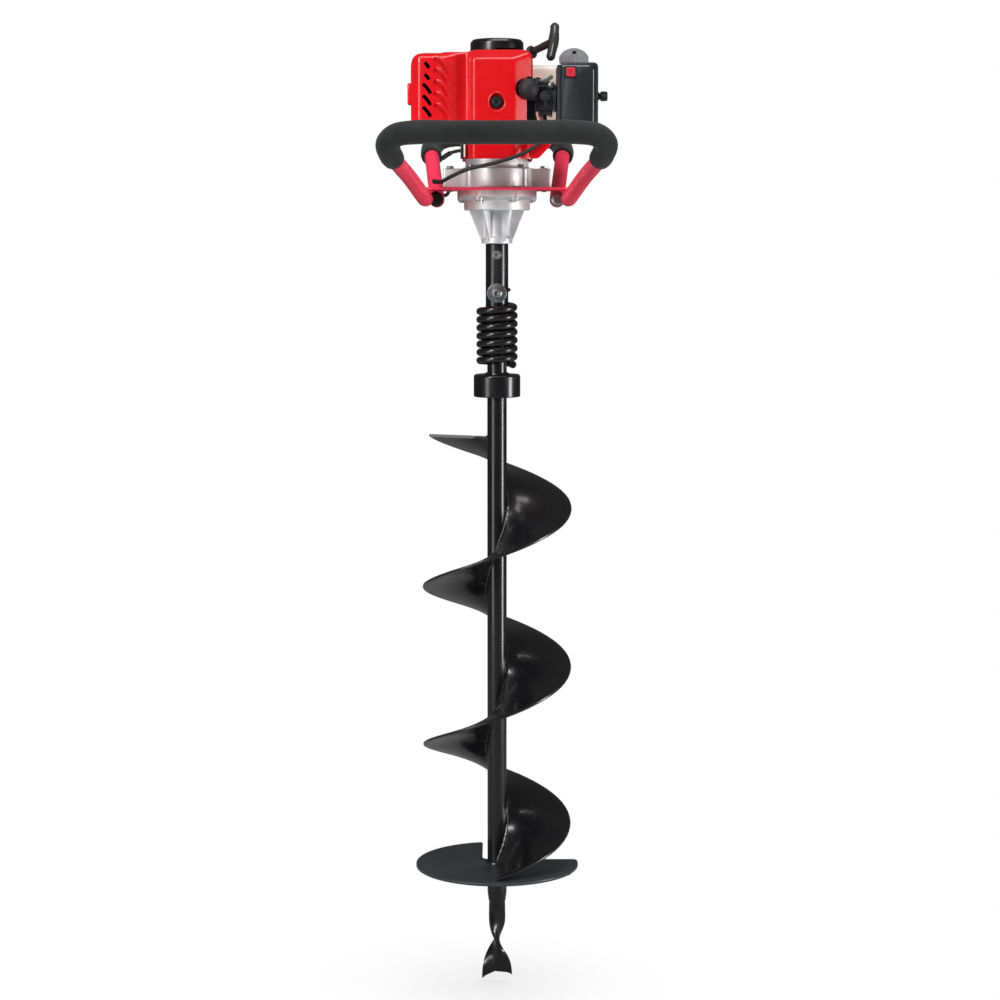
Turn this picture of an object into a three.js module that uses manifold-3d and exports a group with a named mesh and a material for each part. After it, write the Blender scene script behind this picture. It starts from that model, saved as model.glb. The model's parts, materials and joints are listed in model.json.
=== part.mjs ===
// Petrol ice fishing auger: a 200 mm bit, its wind-up spring, a two-stage gearcase,
// two U-shaped handlebars and a 52 cc engine. Millimetres, +Z up.
// The origin is on the bit's axis, level with the lowest point of the pilot.
import * as THREE from 'three';
import { mergeVertices } from 'three/addons/utils/BufferGeometryUtils.js';
import Module from 'manifold-3d';

const wasm = await Module();
wasm.setup();

// ---- Driving dimensions -------------------------------------------------------
const GAP = 0.3; // between pieces that touch
const POLE_R = 13;
const POLE_WALL = 2.5;
const POLE_BOTTOM = 135;
const POLE_TOP = 880;
const PILOT_TOP = 103;
const PILOT_WIDTH = 22;
const PILOT_FLARE = 41;
const PILOT_THICK = 8;
const DISC_R = 110;
const DISC_TOP = 163;
const DISC_THICK = 4;
const FLIGHT_R = 100;
const FLIGHT_PITCH = 215;
const FLIGHT_TURNS = 2.686;
const FLIGHT_THICK = 4;
const COLLAR_R = 31;
const COLLAR_BOTTOM = 798;
const COLLAR_TOP = 828;
const SPRING_R = 22.5;
const SPRING_WIRE_R = 5.1;
const SPRING_BOTTOM = 840;
const SPRING_TOP = 919;
const SPRING_TURNS = 7.2;
const SOCKET_R = 15;
const SOCKET_BOTTOM = 905;
const SOCKET_TOP = 1000.7;
const SOCKET_BOLT_Z = 936;
const SHAFT_R = 10;
const CASE_BOTTOM = 1001;
const CASE_SPLIT = 1074;
const CASE_TOP = 1100;
const CASE_R = 52;
const CAVITY_R = 47.5;
const LUG_REACH = 71;
const LUG_BOLT_X = 62;
const CLUTCH_HOUSING_R = 41.5;
const CLUTCH_HOUSING_TOP = 1122;
const GEAR_CENTRES = 24;
const GEAR_TEETH = 40;
const PINION_TEETH = 8;
const PLATE_X = 184;
const PLATE_Y = 128;
const PLATE_BOTTOM = 1070.3;
const PLATE_TOP = 1073.7;
const BAR_R = 10;
const BAR_LEG_Z = 1059.5;
const FRONT_GRIP_Z = 1136;
const REAR_GRIP_Z = 1151;
const GRIP_Y = 258;
const BAR_STEPS = 72;
const GRIP_R = 14.5;
const GRIP_START_Y = 215;
const CRANK_Z = 1160;
const CRANK_THROW = 17;
const CRANKCASE_R = 34;
const CRANKCASE_TOP = 1192;
const JOURNAL_R = 7.5;
const DRUM_R = 35;
const DRUM_TOP = 1119;
const PULLEY_BOTTOM = 1257.5;
const PULLEY_TOP = 1265.4;
const PLUG_Y = -88;
const BORE_R = 22;
const CYLINDER_Y = -60;
const COVER_FRONT = -105;
const COVER_BACK = 45;
const COVER_BOTTOM = 1109;
const COVER_TOP = 1248;
const COVER_WALL = 3;
const SCREW_Z = 1182;
const SCREW_SEAT_Y = -101;
const CARB_Z = 1185;
const PRIMER = new THREE.Vector3(40, -96.4, 1197);
const PRIMER_R = 13;
const CHOKE_X = 61.5;
const CHOKE_Z = 1188;
const AIR_BOX_X = 129.5;
const AIR_BOX_TOP = 1231;
const KNOB_Z = 1190;
const TANK_TOP = 1238;
const TANK_BOTTOM = 1138;
const TANK_BACK = 118;
const CAP_X = 103;
const CAP_Y = 70;
const HANDLE = new THREE.Vector3(73, -30, 1262);
const PULL = new THREE.Vector3(0.677, -0.677, 0.289).normalize();
const HANDLE_STEM = 36;
const HOUSING_BACK = 15;
const HOUSING_FRONT = 13;
const HANDLE_BAR = new THREE.Vector3(0.122, 0.49, 0.862).normalize();
const THROTTLE = new THREE.Vector3(-20, GRIP_Y, REAR_GRIP_Z);
const THROTTLE_LINE = new THREE.Vector3(1, 0, 0);

// ---- Finishes -----------------------------------------------------------------
function finish(color, roughness, metalness) {
  return new THREE.MeshStandardMaterial({ color, roughness, metalness });
}
const coverRed = finish(0xcc0410, 0.22, 0);
const frameRed = finish(0xd91f38, 0.35, 0.1);
const foam = finish(0x101012, 0.95, 0);
const castMetal = finish(0xb9bcc0, 0.5, 0.8);
const blackPaint = finish(0x08080a, 0.18, 0.2);
const slate = finish(0x2a2f36, 0.4, 0.4);
const steel = finish(0x9a9ca0, 0.35, 1);
const zinc = finish(0xa8aaae, 0.4, 0.9);
const darkPlastic = finish(0x15181d, 0.55, 0);
const rubber = finish(0x0c0c0d, 0.85, 0);
const tankPlastic = finish(0xe6dfc6, 0.4, 0);
const capGrey = finish(0x7b7e82, 0.5, 0);
const paper = finish(0xd8cfae, 0.9, 0);
const buttonRed = finish(0xc01018, 0.4, 0);

// ---- Shape helpers ------------------------------------------------------------
const UP = new THREE.Vector3(0, 0, 1);
const ROUND = 18;

function vec(x, y, z) {
  return new THREE.Vector3(x, y, z);
}

// Closed triangle mesh of a geometry: vertices shared, no empty triangles, faces outward.
function weld(geometry) {
  const bare = geometry.clone();
  bare.deleteAttribute('normal');
  bare.deleteAttribute('uv');
  const merged = mergeVertices(bare, 1e-4);
  const place = merged.attributes.position;
  const source = merged.index.array;
  const triangles = [];
  const a = vec(0, 0, 0);
  const b = vec(0, 0, 0);
  const c = vec(0, 0, 0);
  let volume = 0;
  for (let i = 0; i < source.length; i += 3) {
    const corners = [source[i], source[i + 1], source[i + 2]];
    if (new Set(corners).size < 3) continue;
    triangles.push(...corners);
    a.fromBufferAttribute(place, corners[0]);
    b.fromBufferAttribute(place, corners[1]);
    c.fromBufferAttribute(place, corners[2]);
    volume += a.dot(b.cross(c));
  }
  if (volume < 0) triangles.reverse();
  return { vertices: Float32Array.from(place.array), triangles: Uint32Array.from(triangles) };
}

function solid(shape) {
  if (!shape.isBufferGeometry) return shape;
  const { vertices, triangles } = weld(shape);
  return new wasm.Manifold(new wasm.Mesh({ numProp: 3, vertProperties: vertices, triVerts: triangles }));
}

function join(first, ...others) {
  return others.reduce((whole, other) => whole.add(solid(other)), solid(first));
}

function cut(first, ...tools) {
  return tools.reduce((whole, tool) => whole.subtract(solid(tool)), solid(first));
}

function geometryOf(shape) {
  const mesh = shape.isBufferGeometry ? null : shape.getMesh();
  const welded = mesh ? { vertices: mesh.vertProperties, triangles: mesh.triVerts } : weld(shape);
  const geometry = new THREE.BufferGeometry();
  geometry.setAttribute('position', new THREE.BufferAttribute(welded.vertices, 3));
  geometry.setIndex(new THREE.BufferAttribute(welded.triangles, 1));
  geometry.computeVertexNormals();
  return geometry;
}

const auger = new THREE.Group();

function node(name, shape, material, parent = auger) {
  const mesh = new THREE.Mesh(geometryOf(shape), material);
  mesh.name = name;
  parent.add(mesh);
  return mesh;
}

function box(x0, x1, y0, y1, z0, z1) {
  const block = new THREE.BoxGeometry(x1 - x0, y1 - y0, z1 - z0);
  return block.translate((x0 + x1) / 2, (y0 + y1) / 2, (z0 + z1) / 2);
}

// Upright cylinder from z0 to z1 on the axis.
function rod(radius, z0, z1, sides = ROUND) {
  const cylinder = new THREE.CylinderGeometry(radius, radius, z1 - z0, sides);
  return cylinder.rotateX(Math.PI / 2).translate(0, 0, (z0 + z1) / 2);
}

// Turned profile of [radius, height] pairs about the axis.
function turned(profile, sides = ROUND) {
  const points = profile.map(([radius, height]) => new THREE.Vector2(radius, height));
  return new THREE.LatheGeometry(points, sides).rotateX(Math.PI / 2);
}

function ring(inner, outer, z0, z1, sides = ROUND) {
  return turned([[inner, z0], [outer, z0], [outer, z1], [inner, z1], [inner, z0]], sides);
}

// Moves a shape that stands on the origin along +Z to a start point and a direction.
function aim(geometry, start, direction) {
  const turn = new THREE.Quaternion().setFromUnitVectors(UP, direction.clone().normalize());
  return geometry.applyQuaternion(turn).translate(start.x, start.y, start.z);
}

function rodAlong(radius, start, direction, length, sides = ROUND) {
  return aim(rod(radius, 0, length, sides), start, direction);
}

function prism(shape, z0, z1, curveSegments = 4) {
  const options = { depth: z1 - z0, bevelEnabled: false, curveSegments };
  return new THREE.ExtrudeGeometry(shape, options).translate(0, 0, z0);
}

// Outline in X and Z, extruded along Y.
function sidePrism(shape, y0, y1, curveSegments = 4) {
  return prism(shape, 0, y1 - y0, curveSegments).rotateX(Math.PI / 2).translate(0, y1, 0);
}

function roundedRect(x0, x1, y0, y1, r) {
  const shape = new THREE.Shape();
  shape.moveTo(x0 + r, y0);
  shape.lineTo(x1 - r, y0);
  shape.absarc(x1 - r, y0 + r, r, -Math.PI / 2, 0);
  shape.lineTo(x1, y1 - r);
  shape.absarc(x1 - r, y1 - r, r, 0, Math.PI / 2);
  shape.lineTo(x0 + r, y1);
  shape.absarc(x0 + r, y1 - r, r, Math.PI / 2, Math.PI);
  shape.lineTo(x0, y0 + r);
  shape.absarc(x0 + r, y0 + r, r, Math.PI, Math.PI * 1.5);
  return shape;
}

function circleShape(radius, sides) {
  const points = [];
  for (let i = 0; i < sides; i += 1) {
    const angle = (i / sides) * Math.PI * 2;
    points.push(new THREE.Vector2(radius * Math.cos(angle), radius * Math.sin(angle)));
  }
  return new THREE.Shape(points);
}

// Solid or hollow tube along a curve.
function pipe(curve, steps, outer, inner = 0, sides = 12) {
  const section = circleShape(outer, sides);
  if (inner > 0) section.holes.push(circleShape(inner, sides));
  return new THREE.ExtrudeGeometry(section, { steps, extrudePath: curve, bevelEnabled: false });
}

function mapPoints(geometry, move) {
  const place = geometry.attributes.position;
  const point = vec(0, 0, 0);
  for (let i = 0; i < place.count; i += 1) {
    point.fromBufferAttribute(place, i);
    const moved = move(point);
    place.setXYZ(i, moved.x, moved.y, moved.z);
  }
  return geometry;
}

class Stretch extends THREE.Curve {
  constructor(base, from, to) {
    super();
    this.base = base;
    this.from = from;
    this.to = to;
  }

  getPoint(t, target = vec(0, 0, 0)) {
    return target.copy(this.base.getPointAt(this.from + (this.to - this.from) * t));
  }
}

// ---- Bit ----------------------------------------------------------------------
// Fishtail pilot: a bar twisted half a turn, ending in two unequal prongs, with its ferrule.
function pilot() {
  const notch = 13;
  const shortProng = 5;
  const bar = new THREE.BoxGeometry(1, 1, 1, 4, 1, 14);
  mapPoints(bar, (point) => {
    const across = point.x * 2;
    const end = notch * (1 - Math.abs(across)) + (across < 0 ? -across * shortProng : 0);
    const z = THREE.MathUtils.lerp(end, PILOT_TOP + 3, point.z + 0.5);
    const flare = THREE.MathUtils.smoothstep(70 - z, 0, 66);
    const width = THREE.MathUtils.lerp(PILOT_WIDTH, PILOT_FLARE, flare);
    const thick = THREE.MathUtils.lerp(PILOT_THICK, PILOT_THICK * 0.5, flare);
    const twist = Math.PI * THREE.MathUtils.smoothstep(PILOT_TOP - z, 0, 95);
    const x = point.x * width;
    const y = point.y * thick;
    return vec(
      x * Math.cos(twist) - y * Math.sin(twist),
      x * Math.sin(twist) + y * Math.cos(twist),
      z,
    );
  });
  const top = POLE_BOTTOM - GAP;
  const ferrule = turned([[0, PILOT_TOP], [10.5, PILOT_TOP], [POLE_R, PILOT_TOP + 14], [POLE_R, top], [0, top]]);
  return join(ferrule, bar);
}

function pole() {
  return ring(POLE_R - POLE_WALL, POLE_R, POLE_BOTTOM, POLE_TOP);
}

function collar() {
  const inner = POLE_R + GAP;
  const edge = 2.5;
  return turned([
    [inner, COLLAR_BOTTOM],
    [COLLAR_R - edge, COLLAR_BOTTOM],
    [COLLAR_R, COLLAR_BOTTOM + edge],
    [COLLAR_R, COLLAR_TOP - edge],
    [COLLAR_R - edge, COLLAR_TOP],
    [inner, COLLAR_TOP],
    [inner, COLLAR_BOTTOM],
  ], 28);
}

// Right-handed screw plate, landing on the disc at the front.
function flight() {
  const steps = 62;
  const start = -Math.PI / 2;
  const bottom = DISC_TOP + GAP + FLIGHT_THICK / 2;
  const plate = new THREE.BoxGeometry(1, 1, 1, 1, steps, 1);
  return mapPoints(plate, (point) => {
    const along = point.y + 0.5;
    const radius = THREE.MathUtils.lerp(POLE_R + GAP, FLIGHT_R, point.x + 0.5);
    const angle = start + along * FLIGHT_TURNS * Math.PI * 2;
    const z = bottom + along * FLIGHT_TURNS * FLIGHT_PITCH + point.z * FLIGHT_THICK;
    return vec(radius * Math.cos(angle), radius * Math.sin(angle), z);
  });
}

const BLADE_ANGLES = [-0.32, -0.32 + Math.PI];
const BLADE_BOLT_R = 62;
const BLADE_THICK = 3;

function bladeBoltPoint(angle) {
  return vec(BLADE_BOLT_R * Math.cos(angle), BLADE_BOLT_R * Math.sin(angle), 0);
}

function boltHole(point, radius, z0, z1) {
  return rod(radius, z0, z1, 12).translate(point.x, point.y, 0);
}

function cutterDisc() {
  const bottom = DISC_TOP - DISC_THICK;
  const whole = turned([[0, bottom], [DISC_R, bottom], [DISC_R, DISC_TOP], [0, DISC_TOP]], 48);
  const window = sector(-20, 16, 12).translate(0, 0, bottom - 1);
  const holes = BLADE_ANGLES.map((angle) => boltHole(bladeBoltPoint(angle), 3.4, bottom - 1, DISC_TOP + 1));
  return cut(whole, rod(POLE_R + GAP, bottom - 1, DISC_TOP + 1), window, ...holes);
}

// Back-right clearance opening of the disc, its inner corner rounded.
function sector(left, front, radius) {
  const reach = DISC_R + 10;
  const shape = new THREE.Shape();
  const clear = POLE_R + 4;
  shape.moveTo(clear + radius, front);
  shape.lineTo(reach, front);
  shape.lineTo(reach, reach);
  shape.lineTo(left, reach);
  shape.lineTo(left, clear + radius);
  shape.quadraticCurveTo(left, clear, left + radius, clear);
  shape.lineTo(clear, clear);
  shape.quadraticCurveTo(clear + radius / 2, clear, clear + radius, front);
  return prism(shape, 0, DISC_THICK + 2);
}

function blade(angle) {
  const top = DISC_TOP - DISC_THICK - GAP;
  const outline = new THREE.Shape();
  outline.moveTo(34, -14);
  outline.lineTo(106, -10);
  outline.lineTo(106, 8);
  outline.lineTo(34, 12);
  outline.closePath();
  const body = prism(outline, top - BLADE_THICK, top).rotateZ(angle);
  return cut(body, boltHole(bladeBoltPoint(angle), 3.4, top - 4, top + 1));
}

function bladeBolt(angle) {
  const headTop = DISC_TOP - DISC_THICK - BLADE_THICK - 2 * GAP;
  const head = rod(6.5, headTop - 4.2, headTop, 6);
  const shank = rod(3, headTop - 1, DISC_TOP - 0.2, 12);
  const point = bladeBoltPoint(angle);
  return join(head, shank).translate([point.x, point.y, 0]);
}

// ---- Wind-up spring -----------------------------------------------------------
class SpringWire extends THREE.Curve {
  getPoint(t, target = vec(0, 0, 0)) {
    const endTurn = 0.3 / SPRING_TURNS;
    const nearEnd = Math.min(t, 1 - t) / endTurn;
    const closed = SOCKET_R + SPRING_WIRE_R + 0.8;
    const radius = THREE.MathUtils.lerp(closed, SPRING_R, THREE.MathUtils.smoothstep(nearEnd, 0, 1));
    const angle = t * SPRING_TURNS * Math.PI * 2;
    const z = THREE.MathUtils.lerp(SPRING_BOTTOM, SPRING_TOP, t);
    return target.set(radius * Math.cos(angle), radius * Math.sin(angle), z);
  }
}

// ---- Output shaft and socket --------------------------------------------------
function crossHole(radius, z) {
  return rodAlong(radius, vec(0, -40, z), vec(0, 1, 0), 80, 12);
}

function outputShaft() {
  return cut(rod(SHAFT_R, 922, 1078), crossHole(4.4, SOCKET_BOLT_Z));
}

function socketTube() {
  const tube = ring(SHAFT_R + GAP, SOCKET_R, SOCKET_BOTTOM, SOCKET_TOP);
  return cut(tube, crossHole(4.4, SOCKET_BOLT_Z));
}

function socketBolt() {
  const shank = rodAlong(4, vec(0, -20, SOCKET_BOLT_Z), vec(0, 1, 0), 42, 12);
  const head = rodAlong(7.5, vec(0, -26, SOCKET_BOLT_Z), vec(0, 1, 0), 6.5, 6);
  return join(shank, head);
}

function socketWasher() {
  return aim(ring(4.4, 13, 0, 2.4), vec(0, -19, SOCKET_BOLT_Z), vec(0, 1, 0));
}

// ---- Gears --------------------------------------------------------------------
// Module 1 gear with straight-flanked teeth, thinned so that a pair turns freely.
function gearShape(teeth, turn) {
  const pitchR = teeth / 2;
  const shape = new THREE.Shape();
  const flank = [[pitchR - 1.15, 0.9], [pitchR + 0.75, 0.3]];
  for (let tooth = 0; tooth < teeth; tooth += 1) {
    const middle = (tooth / teeth) * Math.PI * 2 + turn;
    const corners = [
      [flank[0][0], -flank[0][1]],
      [flank[1][0], -flank[1][1]],
      [flank[1][0], flank[1][1]],
      [flank[0][0], flank[0][1]],
    ];
    corners.forEach(([radius, half], corner) => {
      const angle = middle + half / pitchR;
      const x = radius * Math.cos(angle);
      const y = radius * Math.sin(angle);
      if (tooth === 0 && corner === 0) shape.moveTo(x, y);
      else shape.lineTo(x, y);
    });
  }
  shape.closePath();
  return shape;
}

const HALF_TOOTH = Math.PI / GEAR_TEETH;

// A gear tooth gap faces the mating pinion's tooth along the line of centres, +Y.
function outputGear() {
  const teeth = prism(gearShape(GEAR_TEETH, Math.PI / 2 + HALF_TOOTH), 1064.5, 1075.5);
  return cut(teeth, rod(SHAFT_R + GAP, 1060, 1080));
}

function layshaft() {
  const pinion = prism(gearShape(PINION_TEETH, -Math.PI / 2), 1064, 1076);
  const wheel = prism(gearShape(GEAR_TEETH, -Math.PI / 2 + HALF_TOOTH), 1080.5, 1089.5);
  const whole = join(pinion, wheel, rod(4, 1076, 1081), rod(2.7, 1059.5, 1094.5, 16));
  return whole.translate([0, GEAR_CENTRES, 0]);
}

function clutchDrum() {
  const wall = 3;
  const bottom = CASE_TOP + wall;
  const cup = cut(rod(DRUM_R, bottom, DRUM_TOP), rod(DRUM_R - wall, bottom + wall, DRUM_TOP + 1));
  const pinion = prism(gearShape(PINION_TEETH, Math.PI / 2), 1080, 1090);
  return join(cup, rod(5, 1089.9, bottom + 1), pinion);
}

// ---- Gearcase -----------------------------------------------------------------
function gearcaseRib(angle) {
  const outline = new THREE.Shape();
  outline.moveTo(15, 1012);
  outline.lineTo(19, 1012);
  outline.lineTo(36, 1044.5);
  outline.lineTo(15, 1044.5);
  outline.closePath();
  return sidePrism(outline, -2, 2).rotateZ(angle);
}

function gearcaseLower() {
  const outside = turned([
    [0, CASE_BOTTOM],
    [20.5, CASE_BOTTOM],
    [20.5, 1009],
    [17.5, 1010],
    [17.5, 1044],
    [43.5, 1044],
    [43.5, 1058],
    [48, 1058],
    [CASE_R, 1062],
    [CASE_R, CASE_SPLIT - GAP],
    [0, CASE_SPLIT - GAP],
  ], 28);
  const ribs = [];
  for (let i = 0; i < 6; i += 1) ribs.push(gearcaseRib((i / 6) * Math.PI * 2));
  return cut(
    join(outside, ...ribs),
    rod(CAVITY_R, 1063, 1080, 28),
    rod(21.3, 1048, 1064),
    rod(SHAFT_R + 1, 1000, 1050),
    rod(15.3, 1000, 1008.3),
    rod(3.2, 1059, 1064, 16).translate(0, GEAR_CENTRES, 0),
  );
}

function ellipseRod(rx, ry, z0, z1) {
  return rod(1, z0, z1, 28).scale(rx, ry, 1);
}

function gearcaseUpper() {
  const lugs = box(-LUG_REACH, LUG_REACH, -12, 12, CASE_SPLIT, CASE_TOP - 1);
  const body = ellipseRod(46.5, CASE_R, CASE_SPLIT, CASE_TOP);
  const housing = rod(CLUTCH_HOUSING_R, CASE_TOP - 1, CLUTCH_HOUSING_TOP, 28);
  const holes = [-1, 1].map((side) => boltHole(vec(side * LUG_BOLT_X, 0, 0), 3.4, 1060, 1110));
  return cut(
    join(lugs, body, housing),
    ellipseRod(42.5, 48, 1060, 1091),
    rod(DRUM_R + 2.5, CASE_TOP, CLUTCH_HOUSING_TOP + 1, 24),
    rod(5.4, 1090, 1101),
    rod(3.2, 1090, 1095, 16).translate(0, GEAR_CENTRES, 0),
    ...holes,
  );
}

function lugBolt(side) {
  const head = rod(5.5, CASE_TOP - 1 + GAP, CASE_TOP + 2.4, 6);
  const shank = rod(3, PLATE_BOTTOM - 2, CASE_TOP, 12);
  return join(head, shank).translate([side * LUG_BOLT_X, 0, 0]);
}

// ---- Frame --------------------------------------------------------------------
function framePlate() {
  const outline = roundedRect(-PLATE_X / 2, PLATE_X / 2, -PLATE_Y / 2, PLATE_Y / 2, 8);
  const holes = [-1, 1].map((side) => boltHole(vec(side * LUG_BOLT_X, 0, 0), 3.4, 1060, 1080));
  return cut(prism(outline, PLATE_BOTTOM, PLATE_TOP), rod(53.5, 1060, 1080, 36), ...holes);
}

// One side of a bar, from its end under the plate to near the middle of the grip.
// The rear bar is narrower and rises more steeply than the front one.
const BAR_SIDES = {
  front: [
    [94, 4, BAR_LEG_Z],
    [94, 36, BAR_LEG_Z],
    [94.5, 68, BAR_LEG_Z + 1],
    [110, 137, 1084],
    [127, 215, 1105.5],
    [130.5, 230, 1111.5],
    [132.5, 247, 1123],
    [122, 256.5, FRONT_GRIP_Z - 3.5],
    [98, GRIP_Y, FRONT_GRIP_Z],
    [45, GRIP_Y, FRONT_GRIP_Z],
  ],
  rear: [
    [81, 4, BAR_LEG_Z],
    [81, 36, BAR_LEG_Z],
    [81, 68, BAR_LEG_Z + 0.5],
    [86, 137, 1089],
    [92, 215, 1121],
    [93.5, 228, 1127],
    [91, 242, 1136.5],
    [82, 253.5, REAR_GRIP_Z - 5],
    [64, GRIP_Y, REAR_GRIP_Z],
    [40, GRIP_Y, REAR_GRIP_Z],
  ],
};

function barCurve(place) {
  const front = place === 'front' ? -1 : 1;
  const right = BAR_SIDES[place].map(([x, y, z]) => vec(x, front * y, z));
  const left = BAR_SIDES[place].map(([x, y, z]) => vec(-x, front * y, z)).reverse();
  return new THREE.CatmullRomCurve3([...right, ...left], false, 'centripetal');
}

// Foam sleeve over the stretch of a bar whose points pass the test.
function grip(curve, isCovered) {
  const stations = BAR_STEPS * 4;
  const covered = curve.getSpacedPoints(stations).map((point) => Math.abs(point.y) > GRIP_START_Y && isCovered(point));
  const first = covered.indexOf(true) / stations;
  const last = covered.lastIndexOf(true) / stations;
  const steps = Math.round((last - first) * BAR_STEPS);
  return pipe(new Stretch(curve, first, last), steps, GRIP_R, BAR_R + 1.4, 8);
}

// ---- Engine -------------------------------------------------------------------
function crankcase() {
  const barrel = turned([
    [0, CLUTCH_HOUSING_TOP + GAP],
    [CLUTCH_HOUSING_R, CLUTCH_HOUSING_TOP + GAP],
    [CLUTCH_HOUSING_R, 1127],
    [CRANKCASE_R, 1128],
    [CRANKCASE_R, CRANKCASE_TOP],
    [0, CRANKCASE_TOP],
  ], 24);
  const block = box(-28, 28, -38, 0, CRANK_Z - 28, CRANK_Z + 28);
  return cut(
    join(barrel, block),
    rod(28.5, 1141, 1179, 24),
    rod(JOURNAL_R + 0.5, CLUTCH_HOUSING_TOP, CRANKCASE_TOP + 1),
    rodAlong(BORE_R + 0.4, vec(0, -40, CRANK_Z), vec(0, 1, 0), 35),
  );
}

function crankshaft() {
  const pin = rod(6, 1150, 1170, 16).translate(0, CRANK_THROW, 0);
  return join(
    rod(26, 1143, 1153),
    rod(26, 1167, 1177),
    pin,
    rod(JOURNAL_R, DRUM_TOP - 1, 1144),
    rod(JOURNAL_R, 1176, 1224),
    rod(6, 1223, 1252),
    rod(13, 1107, DRUM_TOP),
  );
}

function flywheel() {
  const vanes = [];
  for (let i = 0; i < 8; i += 1) {
    vanes.push(box(16, 34, -1.5, 1.5, 1213, 1222).rotateZ((i / 8) * Math.PI * 2));
  }
  const disc = ring(JOURNAL_R + GAP, 37, 1202, 1214, 28);
  return join(disc, ...vanes);
}

// Half-round clutch shoe on side +1 or -1 of X.
function clutchShoe(side) {
  const whole = ring(15, DRUM_R - 4.8, 1108, 1117, 28);
  const away = side > 0 ? box(-40, 1.5, -40, 40, 1100, 1125) : box(-1.5, 40, -40, 40, 1100, 1125);
  return cut(whole, away);
}

function cylinder() {
  const core = rodAlong(27, vec(0, -98, CRANK_Z), vec(0, 1, 0), 59.5);
  const fins = [];
  for (let i = 0; i < 5; i += 1) {
    const y = -48 - i * 11;
    fins.push(box(-30, 30, y - 1, y + 1, CRANK_Z - 30, CRANK_Z + 30));
  }
  const flange = box(-28, 28, -42, -38 - GAP, CRANK_Z - 28, CRANK_Z + 28);
  const head = box(-26, 26, -98, -80, CRANK_Z - 28, CRANK_Z + 29);
  const ports = box(-29, 30, -70, -50, CRANK_Z - 6, CRANK_Z + 24);
  const bore = rodAlong(BORE_R, vec(0, -87, CRANK_Z), vec(0, 1, 0), 60);
  const intake = rodAlong(7, vec(15, CYLINDER_Y, CRANK_Z + 10), vec(1, 0, 0), 20, 12);
  const exhaust = rodAlong(8, vec(-15, CYLINDER_Y, CRANK_Z + 8), vec(-1, 0, 0), 20, 12);
  const plugHole = rod(5.4, 1183.5, 1195, 12).translate(0, PLUG_Y, 0);
  const screwHole = rodAlong(4.4, vec(0, -99, SCREW_Z), vec(0, 1, 0), 6.4, 12);
  const bulbRoom = box(26.4, 31, -94.5, -88, PRIMER.z - PRIMER_R, CRANK_Z + 31);
  return cut(join(core, flange, head, ports, ...fins), bore, intake, exhaust, plugHole, screwHole, bulbRoom);
}

function piston() {
  const crown = -52.5;
  const body = rodAlong(BORE_R - 0.5, vec(0, crown, CRANK_Z), vec(0, 1, 0), 24);
  const hollow = rodAlong(BORE_R - 4, vec(0, crown + 5, CRANK_Z), vec(0, 1, 0), 30);
  return cut(body, hollow);
}

function sparkPlug() {
  const profile = [[0, 1184], [5, 1184], [5, 1190.5], [8, 1190.5], [8, 1199], [4.5, 1200], [4.5, 1222], [0, 1222]];
  return turned(profile, 12).translate(0, PLUG_Y, 0);
}

function sparkBoot() {
  const outside = turned([[0, 1203], [8, 1203], [8, 1228], [6, 1233], [0, 1233]], 16);
  return cut(outside, rod(4.9, 1200, 1223, 12)).translate([0, PLUG_Y, 0]);
}

// ---- Covers and silencer ------------------------------------------------------
function coverHull(inset) {
  const bottomOpen = inset > 0 ? 10 : 0;
  const main = roundedRect(-38 + inset, 46 - inset, COVER_BOTTOM - bottomOpen, COVER_TOP - inset, 18 - inset);
  const side = roundedRect(-110 + inset, -50 - inset, 1140 - bottomOpen, COVER_TOP - 5 - inset, 16 - inset);
  const bridge = roundedRect(-60, -30, 1140 - bottomOpen, COVER_TOP - 11 - inset, 4);
  return join(
    sidePrism(main, COVER_FRONT + inset, COVER_BACK - inset),
    sidePrism(side, COVER_FRONT + 3 + inset, COVER_BACK - 15 - inset),
    sidePrism(bridge, COVER_FRONT + 16 + inset, COVER_BACK - 15 - inset),
  );
}

function louvre(index) {
  const slot = box(-3, 3, -20, 20, -16, 16);
  slot.rotateY(-Math.PI / 4);
  return slot.translate(-79, COVER_FRONT, 1163 + index * 12.5);
}

function skirtLip() {
  const outline = new THREE.Shape();
  outline.moveTo(40, COVER_BOTTOM);
  outline.lineTo(57, COVER_BOTTOM);
  outline.lineTo(70, 1128);
  outline.lineTo(70, 1138);
  outline.lineTo(40, 1152);
  outline.closePath();
  return sidePrism(outline, COVER_FRONT + 1, COVER_FRONT + 4);
}

function engineCover() {
  const louvres = [];
  for (let i = 0; i < 6; i += 1) louvres.push(louvre(i));
  const screwBoss = rodAlong(13, vec(0, SCREW_SEAT_Y - 1, SCREW_Z), vec(0, 1, 0), 3.6);
  const ropeHole = rodAlong(4, HANDLE.clone().addScaledVector(PULL, -70), PULL, 40, 12);
  return cut(
    join(cut(coverHull(0), coverHull(COVER_WALL)), skirtLip(), screwBoss),
    box(40, 50, -98, -28, 1150, 1213),
    rodAlong(PRIMER_R + 3, vec(PRIMER.x, COVER_FRONT - 1, PRIMER.z), vec(0, 1, 0), 8),
    rod(30, COVER_TOP - 8, COVER_TOP + 2, 28),
    rod(CLUTCH_HOUSING_R + 1, 1100, 1131, 28),
    box(-113, -104, -76, -44, 1177, 1208),
    rodAlong(10, vec(0, COVER_FRONT - 1, SCREW_Z), vec(0, 1, 0), SCREW_SEAT_Y - COVER_FRONT + 1),
    rodAlong(4.4, vec(0, COVER_FRONT, SCREW_Z), vec(0, 1, 0), 12, 12),
    ropeHole,
    ...louvres,
  );
}

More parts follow.
